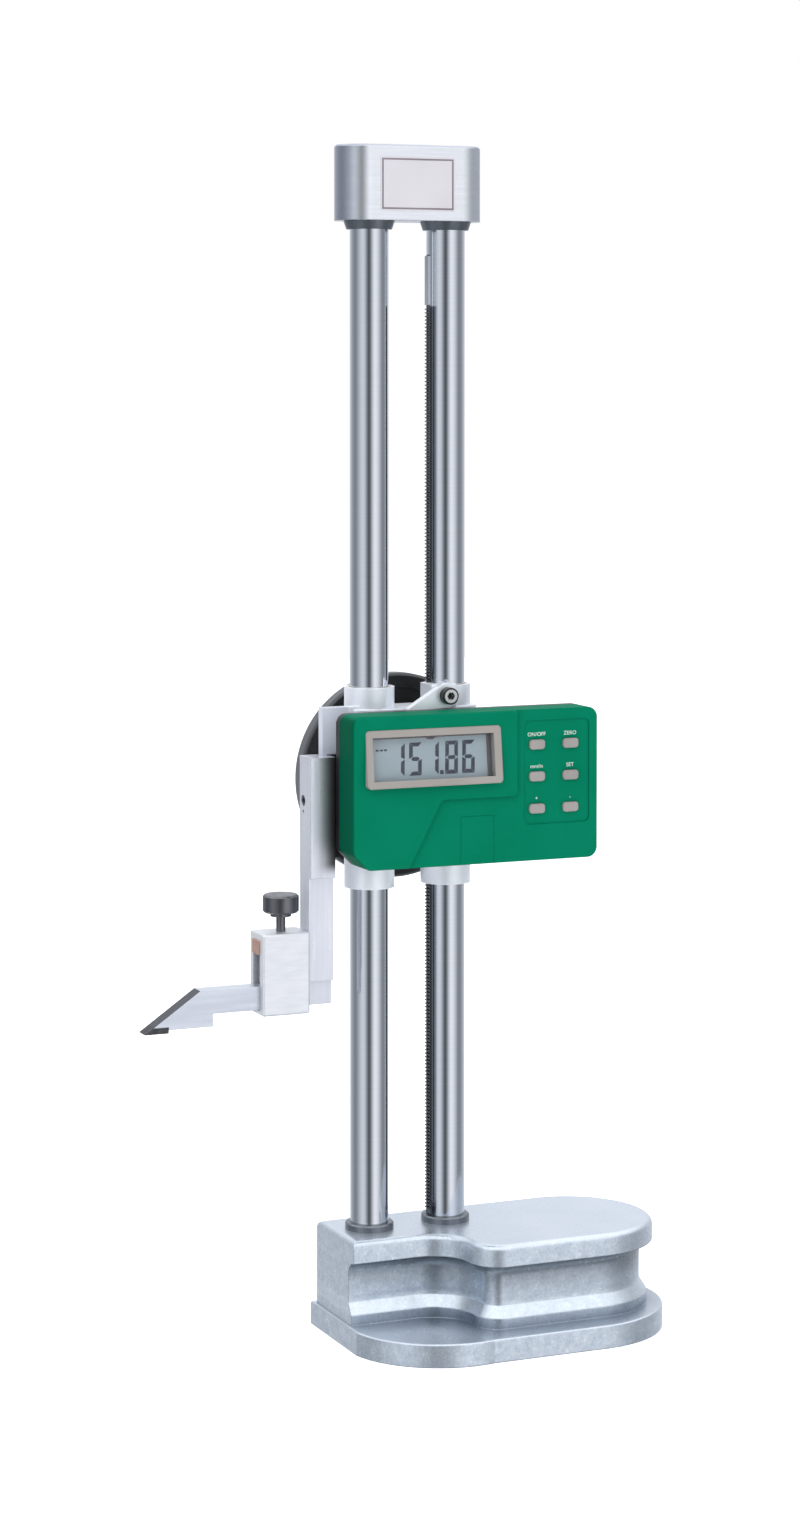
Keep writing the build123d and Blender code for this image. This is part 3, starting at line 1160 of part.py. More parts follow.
with BuildPart() as scriber:
    with BuildSketch(front(SCRIBER_FORWARD - SCRIBER_WIDTH / 2)):
        with BuildLine():
            Polyline(
                (SCRIBER_RIGHT, SCRIBER_BOTTOM),
                (SCRIBER_RIGHT, SCRIBER_BOTTOM + SCRIBER_HEIGHT),
                (BLADE_BEVEL_X, SCRIBER_BOTTOM + SCRIBER_HEIGHT),
                (BEVEL_END_X, TIP_TOP),
                (TIP_RIGHT, TIP_TOP),
                (TIP_RIGHT, BLADE_BOTTOM),
                (BLADE_ROOT_X, BLADE_BOTTOM),
                (BLADE_ROOT_X, SCRIBER_BOTTOM),
                close=True,
            )
        make_face()
    extrude(amount=SCRIBER_WIDTH)
scriber.part.label = "scriber"
export_step(scriber.part, "parts/scriber.step")

with BuildPart() as carbide_tip:
    with BuildSketch(front(SCRIBER_FORWARD - SCRIBER_WIDTH / 2)):
        with BuildLine():
            Polyline((TIP_X, TIP_Z), (BEVEL_END_X, TIP_TOP), (TIP_RIGHT, TIP_TOP), (TIP_RIGHT, TIP_Z), close=True)
        make_face()
    extrude(amount=SCRIBER_WIDTH)
carbide_tip.part.label = "carbide_tip"
export_step(carbide_tip.part, "parts/carbide_tip.step")

CLAMP_LENGTH = CLAMP_RIGHT - CLAMP_LEFT
CLAMP_OPENING = SCRIBER_WIDTH + 2 * CLAMP_CLEARANCE
PAD_ROOF = CLAMP_TOP - CLAMP_ROOF

with BuildPart() as scriber_clamp:
    with BuildSketch(Plane.YZ.offset(CLAMP_LEFT)):
        with Locations((-SCRIBER_FORWARD, CLAMP_BOTTOM)):
            Rectangle(
                CLAMP_OPENING + 2 * CLAMP_SIDE_WALL, CLAMP_TOP - CLAMP_BOTTOM, align=(Align.CENTER, Align.MIN)
            )
    extrude(amount=CLAMP_LENGTH)
    chamfer(scriber_clamp.edges(), length=CLAMP_CHAMFER)
    with BuildSketch(Plane.YZ.offset(CLAMP_LEFT)):
        with Locations((-SCRIBER_FORWARD, CLAMP_BOTTOM + CLAMP_FLOOR)):
            Rectangle(CLAMP_OPENING, PAD_ROOF - CLAMP_BOTTOM - CLAMP_FLOOR, align=(Align.CENTER, Align.MIN))
    extrude(amount=CLAMP_LENGTH, mode=Mode.SUBTRACT)
    with BuildSketch(Plane.XY.offset(PAD_ROOF)):
        with Locations((THUMB_X, -SCRIBER_FORWARD)):
            Circle(THUMB_STEM_R + RUNNING_CLEARANCE)
    extrude(amount=CLAMP_ROOF, mode=Mode.SUBTRACT)
scriber_clamp.part.label = "scriber_clamp"
export_step(scriber_clamp.part, "parts/scriber_clamp.step")

with BuildPart() as clamp_pad:
    with BuildSketch(Plane.XY.offset(NOSE_TOP)):
        with Locations((CLAMP_PAD_LEFT, -SCRIBER_FORWARD)):
            Rectangle(CLAMP_PAD_RIGHT - CLAMP_PAD_LEFT, SCRIBER_WIDTH, align=(Align.MIN, Align.CENTER))
    extrude(amount=PAD_ROOF - NOSE_TOP - CLAMP_CLEARANCE)
clamp_pad.part.label = "clamp_pad"
export_step(clamp_pad.part, "parts/clamp_pad.step")

with BuildPart() as thumb_screw:
    with BuildSketch(Plane.XY.offset(PAD_ROOF)):
        with Locations((THUMB_X, -SCRIBER_FORWARD)):
            Circle(THUMB_STEM_R)
    extrude(amount=THUMB_HEAD_BOTTOM - PAD_ROOF)
    with BuildSketch(Plane.XY.offset(THUMB_HEAD_BOTTOM)):
        with Locations((THUMB_X, -SCRIBER_FORWARD)):
            Circle(THUMB_HEAD_R)
    extrude(amount=THUMB_HEAD_HEIGHT)
    head_rims = thumb_screw.edges().filter_by(GeomType.CIRCLE).filter_by(
        lambda edge: edge.radius > THUMB_NECK_R
    )
    chamfer(head_rims, length=THUMB_CHAMFER)
    with BuildSketch(Plane.XY.offset(THUMB_HEAD_BOTTOM)):
        with Locations((THUMB_X, -SCRIBER_FORWARD)):
            Circle(THUMB_NECK_R)
    extrude(amount=-THUMB_NECK_HEIGHT)
thumb_screw.part.label = "thumb_screw"
export_step(thumb_screw.part, "parts/thumb_screw.step")

# ================================================================ handwheel
wheel_plane = Plane(origin=(PINION_X, 0, PINION_Z), x_dir=(1, 0, 0), z_dir=(0, 0, 1))
wheel_axis = Axis((PINION_X, 0, PINION_Z), (0, 1, 0))
CRANK_X = PINION_X + CRANK_R * cos(radians(CRANK_ANGLE))
CRANK_Z = PINION_Z + CRANK_R * sin(radians(CRANK_ANGLE))
RIM_BACK = WHEEL_FRONT + RIM_DEPTH
WEB_FRONT = WHEEL_FRONT + (RIM_DEPTH - WEB_THICKNESS) / 2
WEB_BACK = WEB_FRONT + WEB_THICKNESS

with BuildPart() as handwheel:
    with BuildSketch(wheel_plane):
        with BuildLine():
            Polyline(
                (SHAFT_R + SEAT_CLEARANCE, HUB_FRONT),
                (HUB_R, HUB_FRONT),
                (HUB_R, WEB_FRONT),
                (WHEEL_R - RIM_WIDTH, WEB_FRONT),
                (WHEEL_R - RIM_WIDTH, WHEEL_FRONT),
                (WHEEL_R, WHEEL_FRONT),
                (WHEEL_R, RIM_BACK),
                (WHEEL_R - RIM_WIDTH, RIM_BACK),
                (WHEEL_R - RIM_WIDTH, WEB_BACK),
                (HUB_R, WEB_BACK),
                (HUB_R, HUB_BACK),
                (SHAFT_R + SEAT_CLEARANCE, HUB_BACK),
                close=True,
            )
        make_face()
    revolve(axis=wheel_axis)
    rim_edges = handwheel.edges().filter_by(GeomType.CIRCLE).filter_by(
        lambda edge: edge.radius > WHEEL_R - RIM_WIDTH / 2
    )
    chamfer(rim_edges, length=WHEEL_CHAMFER)
    with BuildSketch(front(-WEB_FRONT)):
        with Locations((CRANK_X, CRANK_Z)):
            Circle(CRANK_BOSS_R)
    extrude(amount=WEB_FRONT - RIM_BACK)
    with BuildSketch(front(-WHEEL_FRONT)):
        with Locations((CRANK_X, CRANK_Z)):
            Circle(CRANK_PIN_R + SEAT_CLEARANCE)
    extrude(amount=-RIM_DEPTH, mode=Mode.SUBTRACT)
handwheel.part.label = "handwheel"
export_step(handwheel.part, "parts/handwheel.step")

SHAFT_END = HUB_BACK - COLUMN_CHAMFER
with BuildPart() as wheel_shaft:
    with BuildSketch(front(ENCODER_FORWARD)):
        with Locations((PINION_X, PINION_Z)):
            Circle(SHAFT_R)
    extrude(amount=-(ENCODER_FORWARD + SHAFT_END))
    with BuildSketch(front(-SHAFT_END)):
        with Locations((PINION_X, PINION_Z)):
            Circle(WHEEL_SCREW_R + SEAT_CLEARANCE)
    extrude(amount=WHEEL_SCREW_LENGTH, mode=Mode.SUBTRACT)
wheel_shaft.part.label = "wheel_shaft"
export_step(wheel_shaft.part, "parts/wheel_shaft.step")

with BuildPart() as wheel_washer:
    with BuildSketch(front(-HUB_BACK)):
        with Locations((PINION_X, PINION_Z)):
            Circle(WASHER_R)
            Circle(WHEEL_SCREW_R + SEAT_CLEARANCE, mode=Mode.SUBTRACT)
    extrude(amount=-WASHER_THICKNESS)
wheel_washer.part.label = "wheel_washer"
export_step(wheel_washer.part, "parts/wheel_washer.step")

with BuildPart() as wheel_screw:
    with BuildSketch(front(-HUB_BACK - WASHER_THICKNESS)):
        with Locations((PINION_X, PINION_Z)):
            Circle(WHEEL_SCREW_HEAD_R)
    extrude(amount=-WHEEL_SCREW_HEAD_HEIGHT)
    with BuildSketch(front(-HUB_BACK - WASHER_THICKNESS)):
        with Locations((PINION_X, PINION_Z)):
            Circle(WHEEL_SCREW_R)
    extrude(amount=WHEEL_SCREW_LENGTH)
    with BuildSketch(front(-HUB_BACK - WASHER_THICKNESS - WHEEL_SCREW_HEAD_HEIGHT)):
        with Locations((PINION_X, PINION_Z)):
            RegularPolygon(LOCK_SOCKET_ACROSS / 2, 6, major_radius=False)
    extrude(amount=WHEEL_SCREW_HEAD_HEIGHT / 2, mode=Mode.SUBTRACT)
wheel_screw.part.label = "wheel_screw"
export_step(wheel_screw.part, "parts/wheel_screw.step")

KNOB_FRONT = RIM_BACK + KNOB_GAP
KNOB_BACK = KNOB_FRONT + KNOB_LENGTH
KNOB_SHOULDER = KNOB_BACK - KNOB_LENGTH / 4
crank_plane = Plane(origin=(CRANK_X, 0, CRANK_Z), x_dir=(1, 0, 0), z_dir=(0, 0, 1))
crank_axis = Axis((CRANK_X, 0, CRANK_Z), (0, 1, 0))

with BuildPart() as crank_pin:
    with BuildSketch(front(-WHEEL_FRONT)):
        with Locations((CRANK_X, CRANK_Z)):
            Circle(CRANK_PIN_R)
    extrude(amount=WHEEL_FRONT - KNOB_BACK - KNOB_GAP)
    with BuildSketch(front(-KNOB_BACK - KNOB_GAP)):
        with Locations((CRANK_X, CRANK_Z)):
            Circle(KNOB_HEAD_R)
    extrude(amount=-KNOB_HEAD_HEIGHT)
crank_pin.part.label = "crank_pin"
export_step(crank_pin.part, "parts/crank_pin.step")

with BuildPart() as crank_knob:
    with BuildSketch(crank_plane):
        with BuildLine():
            Line((CRANK_PIN_R + RUNNING_CLEARANCE, KNOB_FRONT), (KNOB_ROOT_R, KNOB_FRONT))
            Line((KNOB_ROOT_R, KNOB_FRONT), (KNOB_END_R, KNOB_SHOULDER))
            TangentArc((KNOB_END_R, KNOB_SHOULDER), (KNOB_ROOT_R, KNOB_BACK), tangent=(0, 1))
            Line((KNOB_ROOT_R, KNOB_BACK), (CRANK_PIN_R + RUNNING_CLEARANCE, KNOB_BACK))
            Line((CRANK_PIN_R + RUNNING_CLEARANCE, KNOB_BACK), (CRANK_PIN_R + RUNNING_CLEARANCE, KNOB_FRONT))
        make_face()
    revolve(axis=crank_axis)
crank_knob.part.label = "crank_knob"
export_step(crank_knob.part, "parts/crank_knob.step")
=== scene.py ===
from math import cos, pi, radians, sin

import bmesh
import bpy
from mathutils import Matrix, Vector


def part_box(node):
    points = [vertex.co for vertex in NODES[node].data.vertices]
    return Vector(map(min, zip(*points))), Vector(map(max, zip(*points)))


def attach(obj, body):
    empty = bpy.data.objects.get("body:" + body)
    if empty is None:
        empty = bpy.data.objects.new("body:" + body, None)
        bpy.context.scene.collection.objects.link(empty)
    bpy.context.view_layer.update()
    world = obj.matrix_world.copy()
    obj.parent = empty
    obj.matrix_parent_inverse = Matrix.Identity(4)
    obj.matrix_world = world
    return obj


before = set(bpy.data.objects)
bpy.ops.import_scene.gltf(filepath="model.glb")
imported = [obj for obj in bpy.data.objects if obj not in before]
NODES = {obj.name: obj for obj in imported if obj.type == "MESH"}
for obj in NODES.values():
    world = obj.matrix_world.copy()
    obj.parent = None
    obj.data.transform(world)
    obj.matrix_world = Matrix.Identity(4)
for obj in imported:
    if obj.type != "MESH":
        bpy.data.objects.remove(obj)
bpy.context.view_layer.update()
scene = bpy.context.scene

MM = 0.001

# ---------------------------------------------------------------- camera
CAMERA_AT = Vector((-0.57479, -1.33352, 0.42375))
CAMERA_YAW = radians(23.19)     # turned to the right of +Y
CAMERA_PITCH = radians(1.645)    # down from level
CAMERA_LENS = 79.55              # for a 36 mm long side
CAMERA_SHIFT = -0.2              # keeps the columns nearly parallel, as the photograph frames them


def add_camera():
    """The photograph's viewpoint: in front, to the left and just above the middle."""
    data = bpy.data.cameras.new("camera")
    data.lens = CAMERA_LENS
    data.sensor_width = 36.0
    data.shift_y = CAMERA_SHIFT
    camera = bpy.data.objects.new("camera", data)
    scene.collection.objects.link(camera)
    forward = Vector((
        sin(CAMERA_YAW) * cos(CAMERA_PITCH), cos(CAMERA_YAW) * cos(CAMERA_PITCH), -sin(CAMERA_PITCH),
    ))
    camera.location = CAMERA_AT
    camera.rotation_mode = "QUATERNION"
    camera.rotation_quaternion = forward.to_track_quat("-Z", "Y")
    scene.camera = camera


# ---------------------------------------------------------------- node helpers
PATTERN_LOW, PATTERN_HIGH = 0.3, 0.7     # the middle of a noise pattern's range
BEVEL_SAMPLES = 16
HOLLOW_SAMPLES = 8


class Graph:
    """Short calls for building a node tree."""

    def __init__(self, tree):
        self.tree = tree
        tree.nodes.clear()

    def node(self, kind, **settings):
        made = self.tree.nodes.new(kind)
        for name, value in settings.items():
            setattr(made, name, value)
        return made

    def link(self, output, socket):
        self.tree.links.new(output, socket)

    def coordinates(self, scale=(1, 1, 1)):
        """Object coordinates, which are the object's own metres, stretched by the scale."""
        texture = self.node("ShaderNodeTexCoord")
        mapping = self.node("ShaderNodeMapping")
        mapping.inputs["Scale"].default_value = scale
        self.link(texture.outputs["Object"], mapping.inputs["Vector"])
        return mapping.outputs["Vector"]

    def noise(self, where, scale, detail=3.0, roughness=0.5):
        made = self.node("ShaderNodeTexNoise")
        made.inputs["Scale"].default_value = scale
        made.inputs["Detail"].default_value = detail
        made.inputs["Roughness"].default_value = roughness
        self.link(where, made.inputs["Vector"])
        return made.outputs["Fac"]

    def ramp(self, factor, stops, smooth=False):
        """Colour ramp from (place, colour or grey) pairs."""
        made = self.node("ShaderNodeValToRGB")
        if smooth:
            made.color_ramp.interpolation = "EASE"
        elements = made.color_ramp.elements
        while len(elements) < len(stops):
            elements.new(0.5)
        for element, (place, value) in zip(elements, stops):
            element.position = place
            colour = value if isinstance(value, tuple) else (value, value, value)
            element.color = (*colour, 1.0)
        self.link(factor, made.inputs["Fac"])
        return made.outputs["Color"]

    def mix(self, factor, first, second, blend="MIX"):
        made = self.node("ShaderNodeMix", data_type="RGBA", blend_type=blend)
        for value, name in ((factor, 0), (first, 6), (second, 7)):
            socket = made.inputs[name]
            if hasattr(value, "is_linked"):
                self.link(value, socket)
            elif isinstance(value, tuple):
                socket.default_value = (*value, 1.0)
            else:
                socket.default_value = value
        return made.outputs[2]

    def maths(self, operation, first, second=0.0):
        made = self.node("ShaderNodeMath", operation=operation)
        for value, socket in ((first, made.inputs[0]), (second, made.inputs[1])):
            if hasattr(value, "is_linked"):
                self.link(value, socket)
            else:
                socket.default_value = value
        return made.outputs[0]

    def place(self):
        """Separate x, y and z of the object coordinates."""
        texture = self.node("ShaderNodeTexCoord")
        split = self.node("ShaderNodeSeparateXYZ")
        self.link(texture.outputs["Object"], split.inputs["Vector"])
        return split.outputs

    def facing(self):
        """Separate x, y and z of the surface normal."""
        normal = self.node("ShaderNodeNewGeometry")
        split = self.node("ShaderNodeSeparateXYZ")
        self.link(normal.outputs["Normal"], split.inputs["Vector"])
        return split.outputs

    def between(self, value, start, end):
        """Rises smoothly from 0 to 1 as the value goes from the start to the end."""
        made = self.node("ShaderNodeMapRange", interpolation_type="SMOOTHSTEP")
        self.link(value, made.inputs["Value"])
        made.inputs["From Min"].default_value = min(start, end)
        made.inputs["From Max"].default_value = max(start, end)
        if start > end:
            made.inputs["To Min"].default_value = 1.0
            made.inputs["To Max"].default_value = 0.0
        return made.outputs["Result"]

    def hollows(self, reach):
        """Painted shade: dark in narrow corners and hollows, 1 on open faces."""
        made = self.node("ShaderNodeAmbientOcclusion", samples=HOLLOW_SAMPLES, only_local=True)
        made.inputs["Distance"].default_value = reach
        return made.outputs["AO"]

    def radius_about(self, centre, full):
        """Distance from the line along Y through a place in the object, as a share of the full radius."""
        texture = self.node("ShaderNodeTexCoord")
        offset = self.node("ShaderNodeVectorMath", operation="SUBTRACT")
        self.link(texture.outputs["Object"], offset.inputs[0])
        offset.inputs[1].default_value = centre
        flat = self.node("ShaderNodeVectorMath", operation="MULTIPLY")
        self.link(offset.outputs["Vector"], flat.inputs[0])
        flat.inputs[1].default_value = (1 / full, 0, 1 / full)
        length = self.node("ShaderNodeVectorMath", operation="LENGTH")
        self.link(flat.outputs["Vector"], length.inputs[0])
        return length.outputs["Value"]

    def bump(self, height, strength, distance, normal=None):
        made = self.node("ShaderNodeBump")
        made.inputs["Strength"].default_value = strength
        made.inputs["Distance"].default_value = distance
        self.link(height, made.inputs["Height"])
        if normal is not None:
            self.link(normal, made.inputs["Normal"])
        return made.outputs["Normal"]

    def tones(self, pattern, low, high):
        """Between two colours or values, over the middle of a pattern's range."""
        return self.ramp(pattern, [(PATTERN_LOW, low), (PATTERN_HIGH, high)])

    def skin(self, shader, pattern, rough, strength, distance, edge):
        """Roughness between two values and a fine relief, both from one pattern, with softened edges."""
        self.link(self.tones(pattern, *rough), shader.inputs["Roughness"])
        normal = self.bump(pattern, strength, distance, self.rounded_edges(edge))
        self.link(normal, shader.inputs["Normal"])

    def rounded_edges(self, radius):
        """Shading normal that rounds sharp edges by a small radius."""
        made = self.node("ShaderNodeBevel", samples=BEVEL_SAMPLES)
        made.inputs["Radius"].default_value = radius
        return made.outputs["Normal"]


def new_material(name, metallic, roughness, **sockets):
    """A Principled material, its graph and its shader; uniform values go on the shader's sockets."""
    material = bpy.data.materials.new(name)
    material.use_nodes = True
    graph = Graph(material.node_tree)
    output = graph.node("ShaderNodeOutputMaterial")
    shader = graph.node("ShaderNodeBsdfPrincipled")
    graph.link(shader.outputs["BSDF"], output.inputs["Surface"])
    shader.inputs["Metallic"].default_value = metallic
    shader.inputs["Roughness"].default_value = roughness
    for socket, value in sockets.items():
        shader.inputs[socket.replace("_", " ")].default_value = value
    return material, graph, shader


# ---------------------------------------------------------------- materials
CASTING_HEIGHT = 46.5 * MM
# Painted light and shade on the base's sides, as (share of the casting's height, strength): a painted
# highlight on the foot's sloping lip, and painted shade deepening under the top plate's overhang.
FOOT_LIP_HIGHLIGHT = [(0.30, 0.0), (0.32, 1.0), (0.42, 1.0), (0.47, 0.0)]
GROOVE_SHADE = [(0.5, 1.0), (0.8, 0.35), (0.81, 1.0)]
RACK_PLAIN_LENGTH = 21.3 * MM    # the rack's bright upper end, without teeth
SEAT_WIDTH = 12.0 * MM           # the slider's seat for the arm
SEAT_EDGE = 2.0 * MM             # the strip of the seat outside the housing
SEAT_VISIBLE = 28.0 * MM         # from the slider's top down to the arm's head
ARM_SHADE_WIDTH = 10.0 * MM      # the arm's part that runs beside the housing
ARM_SHADE_RISE = 55.0 * MM       # from the arm's foot up to the housing
ARM_SHADE_FADE = 6.0 * MM


def local_box(name):
    """Lowest and highest corner of a node's mesh, in its own coordinates."""
    corners = NODES[name].bound_box
    return Vector(corners[0]), Vector(corners[6])


def hammertone():
    """Silver-blue metallic enamel, finely mottled on the casting's sides and smoother on its top; painted
    shade darkens its hollows and the sides under the top plate's overhang, and a painted highlight brightens
    the foot's sloping lip.
    """
    material, graph, shader = new_material("hammertone", 0.82, 0.3, Coat_Weight=0.1, Coat_Roughness=0.15)
    where = graph.coordinates()
    fine = graph.noise(where, 900.0, 3.0, 0.6)
    mottle = graph.noise(where, 260.0, 4.0, 0.65)
    cloud = graph.noise(where, 35.0, 3.0)
    side = graph.ramp(graph.facing()["Z"], [(0.25, 1.0), (0.9, 0.1)])
    grain = graph.mix(0.5, fine, mottle)
    speckle = graph.ramp(grain, [
        (0.34, (0.53, 0.60, 0.69)), (0.5, (0.66, 0.73, 0.81)), (0.68, (0.80, 0.86, 0.92)),
    ])
    tint = graph.tones(cloud, (0.68, 0.745, 0.83), (0.74, 0.80, 0.88))
    skin = graph.mix(side, tint, speckle)
    # Painted shade in the casting's hollows and corners.
    hollow_shading = graph.ramp(graph.hollows(0.03), [
        (0.25, (0.20, 0.23, 0.27)), (0.55, (0.60, 0.63, 0.66)), (0.9, (1.0, 1.0, 1.0)),
    ])
    level = graph.maths("MULTIPLY", graph.place()["Z"], 1 / CASTING_HEIGHT)
    # Painted highlight on the foot's sloping lip, replacing the painted shade there.
    lip = graph.ramp(level, FOOT_LIP_HIGHLIGHT)
    hollow_shading = graph.mix(lip, hollow_shading, (1.12, 1.12, 1.10))
    # Painted shade deepening under the top plate's overhang, kept off the left end face.
    overhang_shade = graph.ramp(level, GROOVE_SHADE)
    inside = graph.between(graph.facing()["X"], -0.995, -0.95)
    overhang_shade = graph.mix(inside, (1.0, 1.0, 1.0), overhang_shade)
    shade = graph.mix(1.0, hollow_shading, overhang_shade, "MULTIPLY")
    graph.link(graph.mix(1.0, skin, shade, "MULTIPLY"), shader.inputs["Base Color"])
    graph.link(graph.tones(grain, 0.36, 0.24), shader.inputs["Roughness"])
    depth = graph.mix(side, (0.5, 0.5, 0.5), grain)
    graph.link(graph.bump(depth, 0.22, 0.0005, graph.rounded_edges(0.0008)), shader.inputs["Normal"])
    return material


def polished_column(name, rack_reflection=False):
    """Hard-chromed round bar with very fine circular grinding marks; a painted dark reflection of a toothed
    rack on the side beside it.
    """
    material, graph, shader = new_material(name, 1.0, 0.08)
    where = graph.coordinates((40, 40, 9000))
    rings = graph.noise(where, 1.0, 2.0)
    colour = graph.tones(rings, (0.79, 0.82, 0.87), (0.86, 0.88, 0.92))
    if rack_reflection:
        teeth_top = local_box("rack")[1].z - RACK_PLAIN_LENGTH
        below = graph.between(graph.place()["Z"], teeth_top, teeth_top - MM)
        beside = graph.between(graph.facing()["X"], -0.72, -0.88)
        # Painted dark reflection of the rack on the column beside its teeth.
        colour = graph.mix(graph.maths("MULTIPLY", below, beside), colour, (0.15, 0.16, 0.18))
    graph.link(colour, shader.inputs["Base Color"])
    graph.link(graph.tones(rings, 0.07, 0.11), shader.inputs["Roughness"])
    graph.link(graph.bump(rings, 0.04, 0.0001), shader.inputs["Normal"])
    return material


def ground_steel(name, low, high, roughness, grain):
    """Machined metal: colour between two tones, with grain stretched along one direction."""
    material, graph, shader = new_material(name, 1.0, roughness)
    marks = graph.noise(graph.coordinates(grain), 1.0, 3.0)
    cloud = graph.noise(graph.coordinates(), 60.0, 2.0)
    both = graph.mix(0.35, marks, cloud)
    graph.link(graph.tones(both, low, high), shader.inputs["Base Color"])
    graph.link(graph.tones(both, roughness * 1.25, roughness * 0.8), shader.inputs["Roughness"])
    graph.link(graph.bump(marks, 0.06, 0.0001, graph.rounded_edges(0.0003)), shader.inputs["Normal"])
    return material


def satin_paint(name, low, high, metallic, roughness):
    """Silver lacquer on a casting, with a fine orange-peel skin."""
    material, graph, shader = new_material(name, metallic, roughness, Coat_Weight=0.15, Coat_Roughness=0.2)
    where = graph.coordinates()
    skin = graph.noise(where, 900.0, 3.0)
    cloud = graph.noise(where, 40.0, 2.0)
    graph.link(graph.tones(cloud, low, high), shader.inputs["Base Color"])
    graph.skin(shader, skin, (roughness * 1.15, roughness * 0.85), 0.08, 0.0002, 0.0006)
    return material


def rack_finish():
    """Toothed bar, dark with painted shade between its teeth, whose plain upper end is bright."""
    material, graph, shader = new_material("rack_steel", 1.0, 0.35)
    teeth_top = local_box("rack")[1].z - RACK_PLAIN_LENGTH
    plain = graph.maths("GREATER_THAN", graph.place()["Z"], teeth_top)
    marks = graph.noise(graph.coordinates((300, 300, 40)), 1.0, 3.0)
    # Painted shade between the teeth: the toothed part's dark tones.
    dark = graph.tones(marks, (0.12, 0.125, 0.135), (0.20, 0.205, 0.215))
    bright = graph.tones(marks, (0.55, 0.57, 0.63), (0.66, 0.68, 0.74))
    graph.link(graph.mix(plain, dark, bright), shader.inputs["Base Color"])
    graph.link(graph.tones(marks, 0.42, 0.3), shader.inputs["Roughness"])
    return material


def banded_disc(name, node, stops, metallic, roughness):
    """Turned part whose finish changes with the radius, from (share of the radius, colour) pairs."""
    material, graph, shader = new_material(name, metallic, roughness)
    low, high = local_box(node)
    share = graph.radius_about((low + high) / 2, (high.x - low.x) / 2)
    skin = graph.noise(graph.coordinates(), 1500.0, 2.0)
    bands = graph.ramp(share, stops)
    graph.link(graph.mix(graph.maths("MULTIPLY", skin, 0.3), bands, (0, 0, 0)), shader.inputs["Base Color"])
    graph.skin(shader, skin, (roughness * 1.15, roughness * 0.85), 0.05, 0.0001, 0.0003)
    return material


def cap_metal():
    """Satin silver casting, brightest on its broad faces: every other face carries painted shade."""
    material, graph, shader = new_material("cap_paint", 0.85, 0.2)
    skin = graph.noise(graph.coordinates((60, 60, 1200)), 1.0, 3.0)
    broad = graph.between(graph.maths("ABSOLUTE", graph.facing()["Y"]), 0.6, 0.995)
    # Painted shade on the faces that are not broad front or back faces.
    colour = graph.mix(broad, (0.46, 0.49, 0.57), (0.90, 0.92, 0.96))
    worn = graph.tones(skin, 0.94, 1.0)
    graph.link(graph.mix(1.0, colour, worn, "MULTIPLY"), shader.inputs["Base Color"])
    graph.skin(shader, skin, (0.24, 0.18), 0.04, 0.0001, 0.0008)
    return material


def arm_finish():
    """Ground steel arm, shaded where its edge runs close beside the dark housing."""
    material, graph, shader = new_material("arm_steel", 0.8, 0.3)
    marks = graph.noise(graph.coordinates((500, 500, 30)), 1.0, 3.0)
    steel = graph.tones(marks, (0.78, 0.80, 0.87), (0.86, 0.88, 0.94))
    low, high = local_box("arm")
    shade_from = low.z + ARM_SHADE_RISE
    place = graph.place()
    near = graph.between(place["X"], high.x - ARM_SHADE_WIDTH, high.x)
    beside = graph.between(place["Z"], shade_from, shade_from + ARM_SHADE_FADE)
    front = graph.between(graph.facing()["Y"], -0.3, -0.8)
    shade = graph.maths("MULTIPLY", near, graph.maths("MULTIPLY", beside, front))
    graph.link(graph.mix(shade, steel, (0.05, 0.05, 0.05)), shader.inputs["Base Color"])
    graph.skin(shader, marks, (0.36, 0.26), 0.03, 0.0001, 0.0004)
    return material


def slider_finish():
    """Satin slider casting with a duller arm seat, with painted shade, near black, where the seat runs
    behind the housing.
    """
    material, graph, shader = new_material("slider_paint", 0.85, 0.28, Coat_Weight=0.15, Coat_Roughness=0.2)
    low, high = local_box("slider_frame")
    place, facing = graph.place(), graph.facing()
    skin = graph.noise(graph.coordinates(), 900.0, 3.0)
    cloud = graph.noise(graph.coordinates(), 40.0, 2.0)
    body = graph.between(place["X"], low.x + SEAT_WIDTH - MM, low.x + SEAT_WIDTH + MM)
    front = graph.between(facing["Y"], -0.5, -0.9)
    colour = graph.tones(cloud, (0.86, 0.89, 0.95), (0.92, 0.95, 1.0))
    colour = graph.mix(body, (0.56, 0.59, 0.66), colour)
    seat = graph.between(place["X"], low.x + 0.8 * SEAT_EDGE, low.x + 1.2 * SEAT_EDGE)
    behind = graph.between(place["Z"], high.z - SEAT_VISIBLE, high.z - SEAT_VISIBLE - MM)
    # Painted shade, near black, on the seat's front where it runs behind the housing.
    seat_shade = graph.maths("MULTIPLY", graph.maths("MULTIPLY", seat, behind), front)
    seat_shade = graph.maths("MULTIPLY", seat_shade, graph.maths("SUBTRACT", 1.0, body))
    graph.link(graph.mix(seat_shade, colour, (0.01, 0.01, 0.012)), shader.inputs["Base Color"])
    graph.link(graph.ramp(body, [(0.0, 0.1), (1.0, 0.45)]), shader.inputs["Metallic"])
    graph.skin(shader, skin, (0.40, 0.34), 0.015, 0.0001, 0.0006)
    return material


def clamp_finish():
    """Ground clamp block, with painted shade inside its slot."""
    material, graph, shader = new_material("clamp_steel", 0.75, 0.36)
    skin = graph.noise(graph.coordinates((120, 120, 700)), 1.0, 3.0)
    steel = graph.tones(skin, (0.86, 0.88, 0.92), (0.92, 0.93, 0.96))
    # Painted shade inside the slot and its corners.
    hollow_shading = graph.ramp(graph.hollows(0.02), [(0.35, (0.06, 0.06, 0.065)), (0.62, (1.0, 1.0, 1.0))])
    graph.link(graph.mix(1.0, steel, hollow_shading, "MULTIPLY"), shader.inputs["Base Color"])
    graph.skin(shader, skin, (0.42, 0.32), 0.04, 0.0001, 0.0005)
    return material


